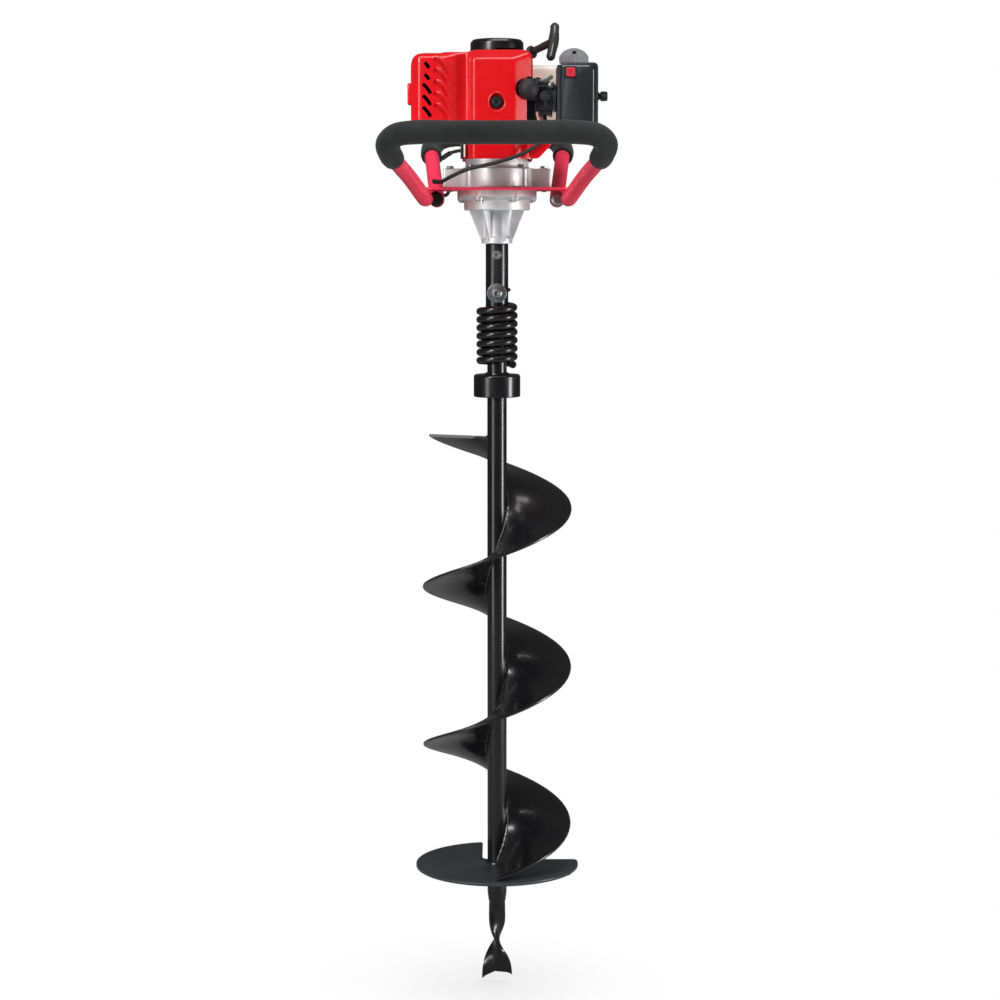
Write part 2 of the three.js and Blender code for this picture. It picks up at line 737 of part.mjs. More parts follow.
function coverScrew() {
  const height = 2.9;
  const head = rodAlong(8, vec(0, SCREW_SEAT_Y - GAP - height, SCREW_Z), vec(0, 1, 0), height, 16);
  const shank = rodAlong(4, vec(0, SCREW_SEAT_Y - 1, SCREW_Z), vec(0, 1, 0), 8.2, 12);
  return join(head, shank);
}

function muffler() {
  const body = sidePrism(roundedRect(-104, -46, 1150, 1234, 10), -84, -16);
  const inlet = box(-47, -30.4, -72, -48, 1156, 1182);
  const port = rodAlong(8, vec(-25, CYLINDER_Y, CRANK_Z + 8), vec(-1, 0, 0), 40, 12);
  return cut(join(body, inlet), port);
}

function exhaustOutlet() {
  return cut(box(-115, -104.4, -73, -47, 1179, 1206), box(-120, -108, -70, -50, 1183, 1202));
}

function recoilHousing() {
  const cup = turned([
    [5, 1257], [5, 1266], [32, 1266], [32, COVER_TOP + GAP], [35, COVER_TOP + GAP],
    [35, 1265], [32, 1268], [0, 1268], [0, 1257], [5, 1257],
  ], 28);
  return cut(cup, box(20, 40, -8, 14, COVER_TOP - 5, COVER_TOP + 4));
}

function starterPulley() {
  return turned([
    [5.4, PULLEY_BOTTOM], [29, PULLEY_BOTTOM], [29, PULLEY_BOTTOM + 1.5], [24, PULLEY_BOTTOM + 3],
    [24, PULLEY_TOP - 3], [29, PULLEY_TOP - 1.5], [29, PULLEY_TOP], [5.4, PULLEY_TOP], [5.4, PULLEY_BOTTOM],
  ]);
}

function starterHandle() {
  const grab = aim(new THREE.CapsuleGeometry(7, 44, 4, 12).rotateX(Math.PI / 2), HANDLE, HANDLE_BAR);
  const stem = rodAlong(5, HANDLE.clone().addScaledVector(PULL, -HANDLE_STEM), PULL, HANDLE_STEM, 12);
  return join(grab, stem);
}

function starterRope() {
  const reach = 54;
  return rodAlong(2, HANDLE.clone().addScaledVector(PULL, -reach), PULL, reach - HANDLE_STEM - GAP, 8);
}

// ---- Fuel and air -------------------------------------------------------------
function fuelTank() {
  const wall = 3;
  const front = COVER_BACK + GAP;
  const outside = sidePrism(roundedRect(36, 131, TANK_BOTTOM, TANK_TOP, 14), front, TANK_BACK);
  const room = roundedRect(36 + wall, 131 - wall, TANK_BOTTOM + wall, TANK_TOP - wall, 14 - wall);
  const inside = sidePrism(room, front + wall, TANK_BACK - wall);
  const neck = rod(16, TANK_TOP - 2, TANK_TOP + 9).translate(CAP_X, CAP_Y, 0);
  const mouth = rod(12.5, TANK_TOP - 12, TANK_TOP + 12).translate(CAP_X, CAP_Y, 0);
  return cut(join(outside, neck), inside, mouth);
}

function fuelCap() {
  const dome = turned([[0, TANK_TOP + 2], [20, TANK_TOP + 2], [20, 1255], [15, 1260], [0, 1261]]);
  return cut(dome, rod(16.5, TANK_TOP, TANK_TOP + 9.4)).translate([CAP_X, CAP_Y, 0]);
}

function intakeManifold() {
  const block = box(30.4, 47.6, CYLINDER_Y - 14, CYLINDER_Y + 14, 1158, 1200);
  return cut(block, rodAlong(7, vec(24, CYLINDER_Y, 1167), vec(24, 0, 15), 34, 12));
}

function carburettor() {
  const block = box(48, 76.6, -78, -42, 1170, 1204);
  const primerSeat = box(30.6, PRIMER.x + PRIMER_R + 0.2, PRIMER.y + GAP, -77, 1182, 1212);
  const seatRecess = rodAlong(PRIMER_R + 0.6, PRIMER, vec(0, 1, 0), 7);
  const throat = rodAlong(9, vec(40, CYLINDER_Y, CARB_Z), vec(1, 0, 0), 40, 16);
  return cut(join(block, primerSeat), throat, seatRecess);
}

function primerBulb() {
  const dome = turned([[0, 0], [PRIMER_R, 0], [PRIMER_R, 4], [11, 9], [6, 12], [0, 13]]);
  return aim(dome, PRIMER, vec(0, -1, 0));
}

// Choke knob whose lever swings just in front of the primer bulb's seat.
function chokeLever() {
  const knob = rodAlong(7, vec(CHOKE_X, -78.4, CHOKE_Z), vec(0, -1, 0), 22, 16);
  return join(knob, box(CHOKE_X - 1.5, CHOKE_X + 1.5, -100, -97.4, CHOKE_Z - 14, CHOKE_Z));
}

function airFilterBase() {
  const plate = box(77, 81.7, -100, -20, 1146.5, AIR_BOX_TOP - 3.5);
  return cut(plate, rodAlong(9, vec(70, CYLINDER_Y, CARB_Z), vec(1, 0, 0), 20, 16));
}

function airFilterElement() {
  const block = box(84, 112, -92, -28, 1152, 1212);
  return cut(block, rodAlong(14, vec(80, CYLINDER_Y, CARB_Z), vec(1, 0, 0), 22, 16));
}

function airFilterCover() {
  const outside = sidePrism(roundedRect(70, AIR_BOX_X, 1143, AIR_BOX_TOP, 8), -102, -18);
  const inside = sidePrism(roundedRect(60, AIR_BOX_X - 3, 1146, AIR_BOX_TOP - 3, 6), -99, -21);
  return cut(
    outside,
    inside,
    box(60, 82, -110, 0, 1130, 1240),
    box(87.5, 100.5, -104, -97, 1211.5, 1224.5),
    rodAlong(3.4, vec(AIR_BOX_X - 6, CYLINDER_Y, KNOB_Z), vec(1, 0, 0), 10, 12),
  );
}

function airCoverKnob() {
  const grab = rodAlong(7, vec(AIR_BOX_X + 0.4, CYLINDER_Y, KNOB_Z), vec(1, 0, 0), 13, 12);
  return join(grab, rodAlong(3, vec(AIR_BOX_X - 11, CYLINDER_Y, KNOB_Z), vec(1, 0, 0), 12, 12));
}

// ---- Throttle -----------------------------------------------------------------
const throttleFrame = new THREE.Group();
throttleFrame.position.copy(THROTTLE);
throttleFrame.quaternion.setFromUnitVectors(UP, THROTTLE_LINE);
auger.add(throttleFrame);

// In the throttle's own frame +Z runs along the bar, +X is down and -Y faces the engine.
function throttleHousing() {
  const body = box(-15, 26, -16, 15, -HOUSING_BACK, HOUSING_FRONT);
  const ears = join(box(-9, -5, -30, -15, -12, -2), box(5, 9, -30, -15, -12, -2));
  return cut(join(body, ears), rod(BAR_R + 1.2, -30, 30, 16), box(16, 22, -8, 8, -17, -9));
}

function throttleTrigger() {
  return box(-4.6, 4.6, -28, -23, -10, 32);
}

function throttleCable() {
  const route = [
    [62, -60, 1167.2],
    [62, -70, 1160],
    [62, -95, 1152],
    [62, -108.8, 1143],
    [57, -108.8, 1131],
    [40, -108.8, 1119],
    [22, -108.8, 1111],
    [-7, -108, 1102.5],
    [-36, -103, 1096],
    [-58, -94, 1087],
    [-71, -82, 1080.5],
    [-79, -62, 1080],
    [-82, -40, 1081],
    [-83, 0, 1083],
    [-80, 40, 1083],
    [-68, 76, 1080],
    [-66, 104, 1071],
    [-72, 128, 1066],
    [-84, 152, 1072],
    [-90, 180, 1087],
    [-91, 215, 1101],
    [-86, 240, 1112],
    [-66, 256, 1128],
    [-46, GRIP_Y, THROTTLE.z - 19],
    [-30, GRIP_Y, THROTTLE.z - 19],
  ];
  const points = route.map(([x, y, z]) => vec(x, y, z));
  return pipe(new THREE.CatmullRomCurve3(points), 50, 2.5, 0, 8);
}

// ---- Assembly -----------------------------------------------------------------
function addBit() {
  node('pilot_point', pilot(), blackPaint);
  node('auger_pole', pole(), blackPaint);
  node('depth_collar', collar(), blackPaint);
  node('auger_flight', flight(), blackPaint);
  node('cutter_disc', cutterDisc(), slate);
  BLADE_ANGLES.forEach((angle, index) => {
    node(`cutter_blade_${index + 1}`, blade(angle), steel);
    node(`blade_bolt_${index + 1}`, bladeBolt(angle), zinc);
  });
}

function addOutput() {
  node('windup_spring', pipe(new SpringWire(), 88, SPRING_WIRE_R, 0, 6), blackPaint);
  node('output_shaft', outputShaft(), steel);
  node('socket_tube', socketTube(), blackPaint);
  node('socket_bolt', socketBolt(), zinc);
  node('socket_washer', socketWasher(), zinc);
  node('output_gear', outputGear(), steel);
  node('layshaft', layshaft(), steel);
  node('clutch_drum', clutchDrum(), steel);
}

function addGearcase() {
  node('gearcase_lower', gearcaseLower(), castMetal);
  node('gearcase_upper', gearcaseUpper(), castMetal);
  node('output_bearing', ring(SHAFT_R + GAP, 21, 1048.3, 1060), steel);
  node('oil_seal', ring(SHAFT_R + GAP, 15, CASE_BOTTOM + GAP, 1008), rubber);
  node('lug_bolt_left', lugBolt(-1), zinc);
  node('lug_bolt_right', lugBolt(1), zinc);
}

function addFrame() {
  node('frame_plate', framePlate(), frameRed);
  const front = barCurve('front');
  const rear = barCurve('rear');
  node('front_handlebar', pipe(front, BAR_STEPS, BAR_R, 0, 8), frameRed);
  node('rear_handlebar', pipe(rear, BAR_STEPS, BAR_R, 0, 8), frameRed);
  node('front_grip', grip(front, () => true), foam);
  node('rear_grip_right', grip(rear, (point) => point.x > THROTTLE.x + HOUSING_FRONT + GAP), foam);
  node('rear_grip_left', grip(rear, (point) => point.x < THROTTLE.x - HOUSING_BACK - GAP), foam);
  node('throttle_housing', throttleHousing(), darkPlastic, throttleFrame);
  node('throttle_trigger', throttleTrigger(), darkPlastic, throttleFrame);
  node('throttle_cable', throttleCable(), rubber);
}

function addEngine() {
  node('crankcase', crankcase(), castMetal);
  node('crankshaft', crankshaft(), steel);
  node('flywheel', flywheel(), castMetal);
  node('clutch_shoe_1', clutchShoe(1), steel);
  node('clutch_shoe_2', clutchShoe(-1), steel);
  node('cylinder', cylinder(), castMetal);
  node('piston', piston(), castMetal);
  node('spark_plug', sparkPlug(), steel);
  node('spark_boot', sparkBoot(), rubber);
  node('engine_cover', engineCover(), coverRed);
  node('cover_screw', coverScrew(), zinc);
  node('muffler', muffler(), darkPlastic);
  node('exhaust_outlet', exhaustOutlet(), coverRed);
  node('recoil_housing', recoilHousing(), blackPaint);
  node('starter_pulley', starterPulley(), darkPlastic);
  node('starter_handle', starterHandle(), rubber);
  node('starter_rope', starterRope(), rubber);
}

function addFuelAndAir() {
  node('fuel_tank', fuelTank(), tankPlastic);
  node('fuel_cap', fuelCap(), capGrey);
  node('intake_manifold', intakeManifold(), darkPlastic);
  node('carburettor_body', carburettor(), slate);
  node('primer_bulb', primerBulb(), rubber);
  node('choke_lever', chokeLever(), darkPlastic);
  node('air_filter_base', airFilterBase(), darkPlastic);
  node('air_filter_element', airFilterElement(), paper);
  node('air_filter_cover', airFilterCover(), darkPlastic);
  node('air_cover_knob', airCoverKnob(), darkPlastic);
  node('stop_switch', box(88, 100, -105, -96, 1212, 1224), buttonRed);
}

addBit();
addOutput();
addGearcase();
addFrame();
addEngine();
addFuelAndAir();

export default auger;
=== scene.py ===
import json
import math

import bmesh
import bpy
from mathutils import Matrix, Vector, noise


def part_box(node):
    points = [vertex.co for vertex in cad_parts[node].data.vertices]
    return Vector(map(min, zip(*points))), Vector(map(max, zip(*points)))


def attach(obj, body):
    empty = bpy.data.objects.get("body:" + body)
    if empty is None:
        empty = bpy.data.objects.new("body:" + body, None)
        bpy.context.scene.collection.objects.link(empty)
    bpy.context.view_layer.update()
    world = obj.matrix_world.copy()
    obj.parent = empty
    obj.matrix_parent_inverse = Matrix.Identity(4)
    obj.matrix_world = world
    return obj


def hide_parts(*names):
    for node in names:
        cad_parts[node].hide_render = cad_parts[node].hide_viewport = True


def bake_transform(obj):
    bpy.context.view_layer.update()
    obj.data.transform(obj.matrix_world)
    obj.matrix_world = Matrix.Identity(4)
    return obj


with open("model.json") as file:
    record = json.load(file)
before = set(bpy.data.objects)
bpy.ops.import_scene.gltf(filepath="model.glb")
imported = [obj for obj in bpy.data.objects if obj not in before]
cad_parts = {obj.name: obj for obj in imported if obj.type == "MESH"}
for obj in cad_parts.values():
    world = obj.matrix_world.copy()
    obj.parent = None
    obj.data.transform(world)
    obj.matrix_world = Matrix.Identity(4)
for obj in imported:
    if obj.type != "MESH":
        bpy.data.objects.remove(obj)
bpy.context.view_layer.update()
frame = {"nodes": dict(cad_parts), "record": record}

# A petrol ice fishing auger: materials, shape tools, then one function for each group of pieces.
# The pieces' lengths are written in millimetres, and mm() turns them to metres. The camera, the
# lights and the floor are in metres.

record = frame["record"]
node_slot = {part["node"]: part["material_slot"] for part in record["subparts"]}
node_body = {
    node: body
    for body, nodes in record["behaviour"]["bodies"].items()
    for node in nodes
}
slot_colour = {row["slot"]: row["base_color"] for row in record["materials"]}


def mm(*values):
    return Vector([value / 1000 for value in values])


def box_mm(node):
    """A CAD node's lowest and highest X, Y and Z, in millimetres."""
    low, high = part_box(node)
    return [(low[axis] * 1000, high[axis] * 1000) for axis in range(3)]


def mix(a, b, t):
    return a + (b - a) * t


def smooth(t, low=0.0, high=1.0):
    t = min(max((t - low) / (high - low), 0.0), 1.0)
    return t * t * (3 - 2 * t)


# ---- Camera, light and floor ----------------------------------------------------
CAMERA_DISTANCE = 3.2
CAMERA_ELEVATION = math.radians(6.4)
CAMERA_LENS = 86.0
AIM = Vector((0.004, 0.0, 0.6593))
FILL_LIGHT = 0.09
FLOOR_REACH = 40.0
FLOOR_GAP = 0.0005


def make_camera():
    data = bpy.data.cameras.new("camera")
    data.lens = CAMERA_LENS
    data.sensor_width = 36
    camera = bpy.data.objects.new("camera", data)
    back = Vector((0, -math.cos(CAMERA_ELEVATION), math.sin(CAMERA_ELEVATION)))
    camera.location = AIM + back * CAMERA_DISTANCE
    camera.rotation_mode = "QUATERNION"
    camera.rotation_quaternion = (-back).to_track_quat("-Z", "Y")
    bpy.context.scene.collection.objects.link(camera)
    bpy.context.scene.camera = camera


def softbox(name, place, target, width, height, power):
    data = bpy.data.lights.new(name, "AREA")
    data.shape = "RECTANGLE"
    data.size = width
    data.size_y = height
    data.energy = power
    light = bpy.data.objects.new(name, data)
    light.location = place
    light.rotation_mode = "QUATERNION"
    light.rotation_quaternion = (Vector(target) - Vector(place)).to_track_quat("-Z", "Y")
    light.visible_camera = False
    bpy.context.scene.collection.objects.link(light)


def make_world():
    bpy.context.scene.view_settings.view_transform = "Standard"
    world = bpy.data.worlds.new("studio")
    world.use_nodes = True
    nodes = world.node_tree.nodes
    links = world.node_tree.links
    nodes.clear()
    output = nodes.new("ShaderNodeOutputWorld")
    blend = nodes.new("ShaderNodeMixShader")
    ray = nodes.new("ShaderNodeLightPath")
    seen = nodes.new("ShaderNodeBackground")
    fill = nodes.new("ShaderNodeBackground")
    for background, strength in ((seen, 1.0), (fill, FILL_LIGHT)):
        background.inputs["Color"].default_value = (1, 1, 1, 1)
        background.inputs["Strength"].default_value = strength
    links.new(ray.outputs["Is Camera Ray"], blend.inputs[0])
    links.new(fill.outputs[0], blend.inputs[1])
    links.new(seen.outputs[0], blend.inputs[2])
    links.new(blend.outputs[0], output.inputs[0])
    bpy.context.scene.world = world


def make_floor():
    reach = FLOOR_REACH
    corners = [(-reach, -reach, 0), (reach, -reach, 0), (reach, reach, 0), (-reach, reach, 0)]
    mesh = bpy.data.meshes.new("floor")
    mesh.from_pydata([Vector(c) for c in corners], [], [(0, 1, 2, 3)])
    floor = bpy.data.objects.new("floor", mesh)
    floor.location.z = -FLOOR_GAP
    bpy.context.scene.collection.objects.link(floor)
    mesh.materials.append(floor_material())


def floor_material():
    """Matt grey to the light, and to the camera the backdrop's white with a contact shade."""
    material, shader = new_material("floor")
    tree = material.node_tree
    shader.inputs["Base Color"].default_value = (0.4, 0.4, 0.4, 1)
    shader.inputs["Roughness"].default_value = 0.8
    shade_near = node_of(tree, "ShaderNodeAmbientOcclusion", samples=16)
    shade_near.inputs["Distance"].default_value = 0.25
    pale = node_of(tree, "ShaderNodeValToRGB")
    pale.color_ramp.elements[0].color = (0.55, 0.55, 0.56, 1)
    pale.color_ramp.elements[1].position = 0.97
    pale.color_ramp.elements[1].color = (1, 1, 1, 1)
    glow = node_of(tree, "ShaderNodeEmission")
    ray = node_of(tree, "ShaderNodeLightPath")
    blend = node_of(tree, "ShaderNodeMixShader")
    output = tree.nodes["Material Output"]
    tree.links.new(shade_near.outputs["AO"], pale.inputs["Fac"])
    tree.links.new(pale.outputs["Color"], glow.inputs["Color"])
    tree.links.new(ray.outputs["Is Camera Ray"], blend.inputs[0])
    tree.links.new(shader.outputs["BSDF"], blend.inputs[1])
    tree.links.new(glow.outputs["Emission"], blend.inputs[2])
    tree.links.new(blend.outputs["Shader"], output.inputs["Surface"])
    return material


# ---- Materials --------------------------------------------------------------------
def new_material(name):
    material = bpy.data.materials.new(name)
    material.use_nodes = True
    return material, material.node_tree.nodes["Principled BSDF"]


def node_of(tree, kind, **values):
    made = tree.nodes.new(kind)
    for key, value in values.items():
        setattr(made, key, value)
    return made


def noise_of(tree, scale, detail=4.0, stretch=(1, 1, 1), rough=0.55):
    """Noise in the object's own space, stretched by the given factors."""
    place = node_of(tree, "ShaderNodeTexCoord")
    squash = node_of(tree, "ShaderNodeMapping")
    squash.inputs["Scale"].default_value = stretch
    made = node_of(tree, "ShaderNodeTexNoise")
    made.inputs["Scale"].default_value = scale
    made.inputs["Detail"].default_value = detail
    made.inputs["Roughness"].default_value = rough
    tree.links.new(place.outputs["Object"], squash.inputs["Vector"])
    tree.links.new(squash.outputs["Vector"], made.inputs["Vector"])
    return made.outputs["Fac"]


def ramp_of(tree, source, low, high, start=0.35, end=0.65):
    made = node_of(tree, "ShaderNodeValToRGB")
    made.color_ramp.elements[0].position = start
    made.color_ramp.elements[0].color = (*low, 1)
    made.color_ramp.elements[1].position = end
    made.color_ramp.elements[1].color = (*high, 1)
    tree.links.new(source, made.inputs["Fac"])
    return made.outputs["Color"]


def range_of(tree, source, low, high):
    made = node_of(tree, "ShaderNodeMapRange")
    made.inputs["From Min"].default_value = 0.3
    made.inputs["From Max"].default_value = 0.7
    made.inputs["To Min"].default_value = low
    made.inputs["To Max"].default_value = high
    tree.links.new(source, made.inputs["Value"])
    return made.outputs["Result"]


def bump_of(tree, shader, source, depth_mm, strength=1.0):
    made = node_of(tree, "ShaderNodeBump")
    made.inputs["Distance"].default_value = depth_mm / 1000
    made.inputs["Strength"].default_value = strength
    earlier = shader.inputs["Normal"].links
    if earlier:
        tree.links.new(earlier[0].from_socket, made.inputs["Normal"])
    tree.links.new(source, made.inputs["Height"])
    tree.links.new(made.outputs["Normal"], shader.inputs["Normal"])


def shaded(colour, factor):
    return tuple(min(1.0, channel * factor) for channel in colour[:3])


def surface(name, metallic, rough, tone, patch, grain, sockets):
    """Base material: patchy tone and roughness, each (low, high), and a grain of (scale, depth)."""
    material, shader = new_material(name)
    tree = material.node_tree
    colour = slot_colour[name]
    patches = noise_of(tree, patch, 5.0)
    tint = ramp_of(tree, patches, shaded(colour, tone[0]), shaded(colour, tone[1]))
    tree.links.new(tint, shader.inputs["Base Color"])
    shader.inputs["Metallic"].default_value = metallic
    wear = noise_of(tree, patch * 5, 6.0)
    tree.links.new(range_of(tree, wear, *rough), shader.inputs["Roughness"])
    bump_of(tree, shader, noise_of(tree, grain[0], 3.0), grain[1])
    for socket, value in sockets.items():
        shader.inputs[socket].default_value = value
    return material, shader, tree


def edge_wear_and_highlight(tree, shader, colour, amount=0.5):
    """Lightens sharp edges: partly rubbed paint and plastic, partly a painted edge highlight."""
    shape = node_of(tree, "ShaderNodeNewGeometry")
    edge = node_of(tree, "ShaderNodeValToRGB")
    edge.color_ramp.elements[0].position = 0.53
    edge.color_ramp.elements[1].position = 0.62
    edge.color_ramp.elements[1].color = (amount, amount, amount, 1)
    blend = node_of(tree, "ShaderNodeMix", data_type="RGBA")
    blend.inputs["B"].default_value = (*colour, 1)
    old = shader.inputs["Base Color"].links[0].from_socket
    tree.links.new(shape.outputs["Pointiness"], edge.inputs["Fac"])
    tree.links.new(edge.outputs["Color"], blend.inputs["Factor"])
    tree.links.new(old, blend.inputs["A"])
    tree.links.new(blend.outputs["Result"], shader.inputs["Base Color"])


def make_materials():
    made = {}

    def keep(name, metallic, rough, tone, patch, grain, wear=None, **sockets):
        """Keeps one surface. wear is the colour and amount of its lightened edges, partly rubbed wear and
        partly a painted edge highlight.
        """
        named = {socket.replace("_", " "): value for socket, value in sockets.items()}
        material, shader, tree = surface(name, metallic, rough, tone, patch, grain, named)
        made[name] = material
        if wear:
            edge_wear_and_highlight(tree, shader, *wear)
        return shader, tree

    keep(
        "cover_red", 0.0, (0.2, 0.3), (1.12, 1.32), 7.0, (260.0, 0.03),
        wear=((0.8, 0.05, 0.06), 0.2), Coat_Weight=0.35, Coat_Roughness=0.08,
    )
    keep(
        "frame_red", 0.0, (0.28, 0.42), (1.1, 1.5), 12.0, (1500.0, 0.04),
        wear=((0.9, 0.16, 0.22), 0.25),
    )
    shader, tree = keep(
        "foam", 0.0, (0.75, 0.95), (0.45, 0.9), 18.0, (1700.0, 0.22),
        Specular_IOR_Level=0.35, Sheen_Weight=0.12, Sheen_Roughness=0.5,
    )
    cells = node_of(tree, "ShaderNodeTexVoronoi")
    cells.inputs["Scale"].default_value = 650.0
    place = node_of(tree, "ShaderNodeTexCoord")
    tree.links.new(place.outputs["Object"], cells.inputs["Vector"])
    bump_of(tree, shader, cells.outputs["Distance"], 0.25, 0.7)

    shader, tree = keep(
        "cast_aluminium", 0.5, (0.34, 0.58), (0.9, 1.25), 22.0, (700.0, 0.12),
        wear=((0.92, 0.92, 0.93), 0.5),
    )
    bump_of(tree, shader, noise_of(tree, 160.0, 4.0), 0.25, 0.6)

    keep(
        "black_paint", 0.0, (0.22, 0.34), (0.7, 1.3), 6.0, (240.0, 0.012),
        wear=((0.05, 0.05, 0.055), 0.35), Specular_IOR_Level=0.4, Coat_Weight=0.3, Coat_Roughness=0.07,
    )
    keep(
        "slate_paint", 0.2, (0.28, 0.4), (1.7, 2.2), 8.0, (420.0, 0.04),
        wear=((0.3, 0.31, 0.33), 0.4),
    )
    shader, tree = keep("steel", 1.0, (0.22, 0.4), (0.85, 1.1), 20.0, (500.0, 0.02), Anisotropic=0.4)
    bump_of(tree, shader, noise_of(tree, 40.0, 5.0, (1, 1, 40)), 0.03)

    keep("zinc", 1.0, (0.3, 0.48), (0.8, 1.15), 45.0, (900.0, 0.04), wear=((0.85, 0.85, 0.86), 0.5))
    keep(
        "dark_plastic", 0.0, (0.42, 0.6), (0.7, 1.1), 14.0, (1300.0, 0.08),
        wear=((0.16, 0.17, 0.19), 0.4), Specular_IOR_Level=0.3,
    )
    keep("rubber", 0.0, (0.5, 0.72), (0.7, 1.4), 30.0, (1500.0, 0.06))
    keep(
        "tank_plastic", 0.0, (0.3, 0.45), (0.92, 1.05), 9.0, (600.0, 0.05),
        Subsurface_Weight=0.35, Subsurface_Radius=(0.012, 0.011, 0.008),
    )
    keep(
        "cap_grey", 0.0, (0.4, 0.58), (0.85, 1.15), 25.0, (1200.0, 0.07),
        wear=((0.45, 0.46, 0.47), 0.4),
    )
    keep("paper", 0.0, (0.8, 0.95), (0.85, 1.1), 60.0, (2500.0, 0.1))
    keep("button_red", 0.0, (0.25, 0.38), (0.9, 1.1), 30.0, (900.0, 0.03))
    return made


# ---- Shape tools --------------------------------------------------------------------
SHARP = 0.01  # corner softness, in millimetres, of cutters and of crisp pieces
THIN = 1e-4  # the radius that stands for a point on the axis
UP = Vector((0, 0, 1))
BACK = Vector((0, 1, 0))
RIGHT = Vector((1, 0, 0))


def shade(piece, crease=38):
    piece.data.shade_smooth()
    piece.data.set_sharp_from_angle(angle=math.radians(crease))


def add_mesh(name, points, faces, material, crease=38):
    mesh = bpy.data.meshes.new(name)
    mesh.from_pydata([tuple(p) for p in points], [], faces)
    tidy = bmesh.new()
    tidy.from_mesh(mesh)
    bmesh.ops.remove_doubles(tidy, verts=tidy.verts, dist=1e-6)
    bmesh.ops.recalc_face_normals(tidy, faces=tidy.faces)
    tidy.to_mesh(mesh)
    tidy.free()
    piece = bpy.data.objects.new(name, mesh)
    bpy.context.scene.collection.objects.link(piece)
    mesh.materials.append(MATERIALS[material])
    piece["slot_name"] = material
    shade(piece, crease)
    return piece


def stand_for(piece, *nodes):
    """The piece takes the place of these CAD nodes, and moves with the first one's body."""
    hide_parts(*nodes)
    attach(piece, node_body[nodes[0]])
    return piece


def on_body(piece, body="powerhead"):
    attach(piece, body)
    return piece


def loft(name, rings, material, looped=False, crease=38):
    """Skin over rings of equal length. looped joins the last ring to the first."""
    count = len(rings[0])
    points = [point for ring in rings for point in ring]
    faces = []
    for row in range(len(rings) if looped else len(rings) - 1):
        after = (row + 1) % len(rings)
        for i in range(count):
            j = (i + 1) % count
            faces.append((row * count + i, row * count + j, after * count + j, after * count + i))
    if not looped:
        faces.append(tuple(reversed(range(count))))
        faces.append(tuple((len(rings) - 1) * count + i for i in range(count)))
    return add_mesh(name, points, faces, material, crease)


def rounded(points, radius, closed=True, steps=4):
    """Softens the corners of a polyline of 2-D points with small curves."""
    count = len(points)
    made = []
    for i, point in enumerate(points):
        here = Vector(point)
        if not closed and i in (0, count - 1):
            made.append(here)
            continue
        before = Vector(points[i - 1]) - here
        after = Vector(points[(i + 1) % count]) - here
        reach = min(radius, before.length / 2.2, after.length / 2.2)
        start = here + before.normalized() * reach
        end = here + after.normalized() * reach
        for step in range(steps + 1):
            t = step / steps
            made.append(start * (1 - t) ** 2 + here * 2 * t * (1 - t) + end * t * t)
    return made


def steps_round(count):
    """Evenly spaced angles, once round."""
    return [2 * math.pi * i / count for i in range(count)]


def helix_point(radius, angle, height):
    return mm(radius * math.cos(angle), radius * math.sin(angle), height)


def ellipse(rx, ry, count, middle=0.0):
    """Outline of an ellipse whose centre lies at `middle` on the second axis."""
    return [(rx * math.cos(a), middle + ry * math.sin(a)) for a in steps_round(count)]


def turned(name, profile, material, soft=0.8, segments=64, closed=False, crease=38):
    """Body of revolution about Z. profile is [radius, height] pairs in millimetres."""
    rings = []
    for radius, height in rounded(profile, soft, closed):
        rings.append([helix_point(max(radius, THIN), a, height) for a in steps_round(segments)])
    return loft(name, rings, material, closed, crease)


def tube(name, inner, outer, low, high, material, soft, segments=64):
    """Turned ring between two radii and two heights."""
    profile = [(inner, low), (outer, low), (outer, high), (inner, high)]
    return turned(name, profile, material, soft, segments, True)


def frames_along(points):
    """A sideways and an upward direction at each point of a path, without sudden turns."""
    tangents = []
    for i in range(len(points)):
        before = points[max(i - 1, 0)]
        after = points[min(i + 1, len(points) - 1)]
        tangents.append((after - before).normalized())
    side = tangents[0].orthogonal().normalized()
    made = []
    for i, tangent in enumerate(tangents):
        if i:
            side = tangents[i - 1].rotation_difference(tangent) @ side
        made.append((side.copy(), tangent.cross(side)))
    return made


def sweep(name, points, radius, material, sides=20, soft_ends=0.0):
    """Round tube along points in metres. radius in millimetres is a number or a function of 0 to 1."""
    last = len(points) - 1
    rings = []
    for i, (side, up) in enumerate(frames_along(points)):
        r = (radius(i / last) if callable(radius) else radius) / 1000
        rings.append([points[i] + (side * math.cos(a) + up * math.sin(a)) * r for a in steps_round(sides)])
    if soft_ends:
        first_ring = end_ring(points[0], rings[0], soft_ends)
        last_ring = end_ring(points[-1], rings[-1], soft_ends)
        rings = [first_ring, *rings, last_ring]
    return loft(name, rings, material)


def end_ring(centre, ring, soft):
    """The ring drawn in by soft millimetres, for a softened end."""
    return [centre + (p - centre) * (1 - soft / 1000 / (p - centre).length) for p in ring]


def spline(points, step=4.0):
    """Centripetal Catmull-Rom curve through points in millimetres, as points in metres."""
    knots = [Vector(p) for p in points]
    knots = [knots[0] * 2 - knots[1]] + knots + [knots[-1] * 2 - knots[-2]]
    made = []
    for i in range(1, len(knots) - 2):
        a, b, c, d = knots[i - 1 : i + 3]
        gaps = [max((q - p).length ** 0.5, 1e-4) for p, q in ((a, b), (b, c), (c, d))]
        leave = ((b - a) / gaps[0] - (c - a) / (gaps[0] + gaps[1]) + (c - b) / gaps[1]) * gaps[1]
        arrive = ((c - b) / gaps[1] - (d - b) / (gaps[1] + gaps[2]) + (d - c) / gaps[2]) * gaps[1]
        pieces = max(2, round((c - b).length / step))
        for k in range(pieces):
            t = k / pieces
            cubic = b * 2 - c * 2 + leave + arrive
            square = c * 3 - b * 3 - leave * 2 - arrive
            made.append((b + leave * t + square * t * t + cubic * t**3) / 1000)
    made.append(knots[-2] / 1000)
    return made


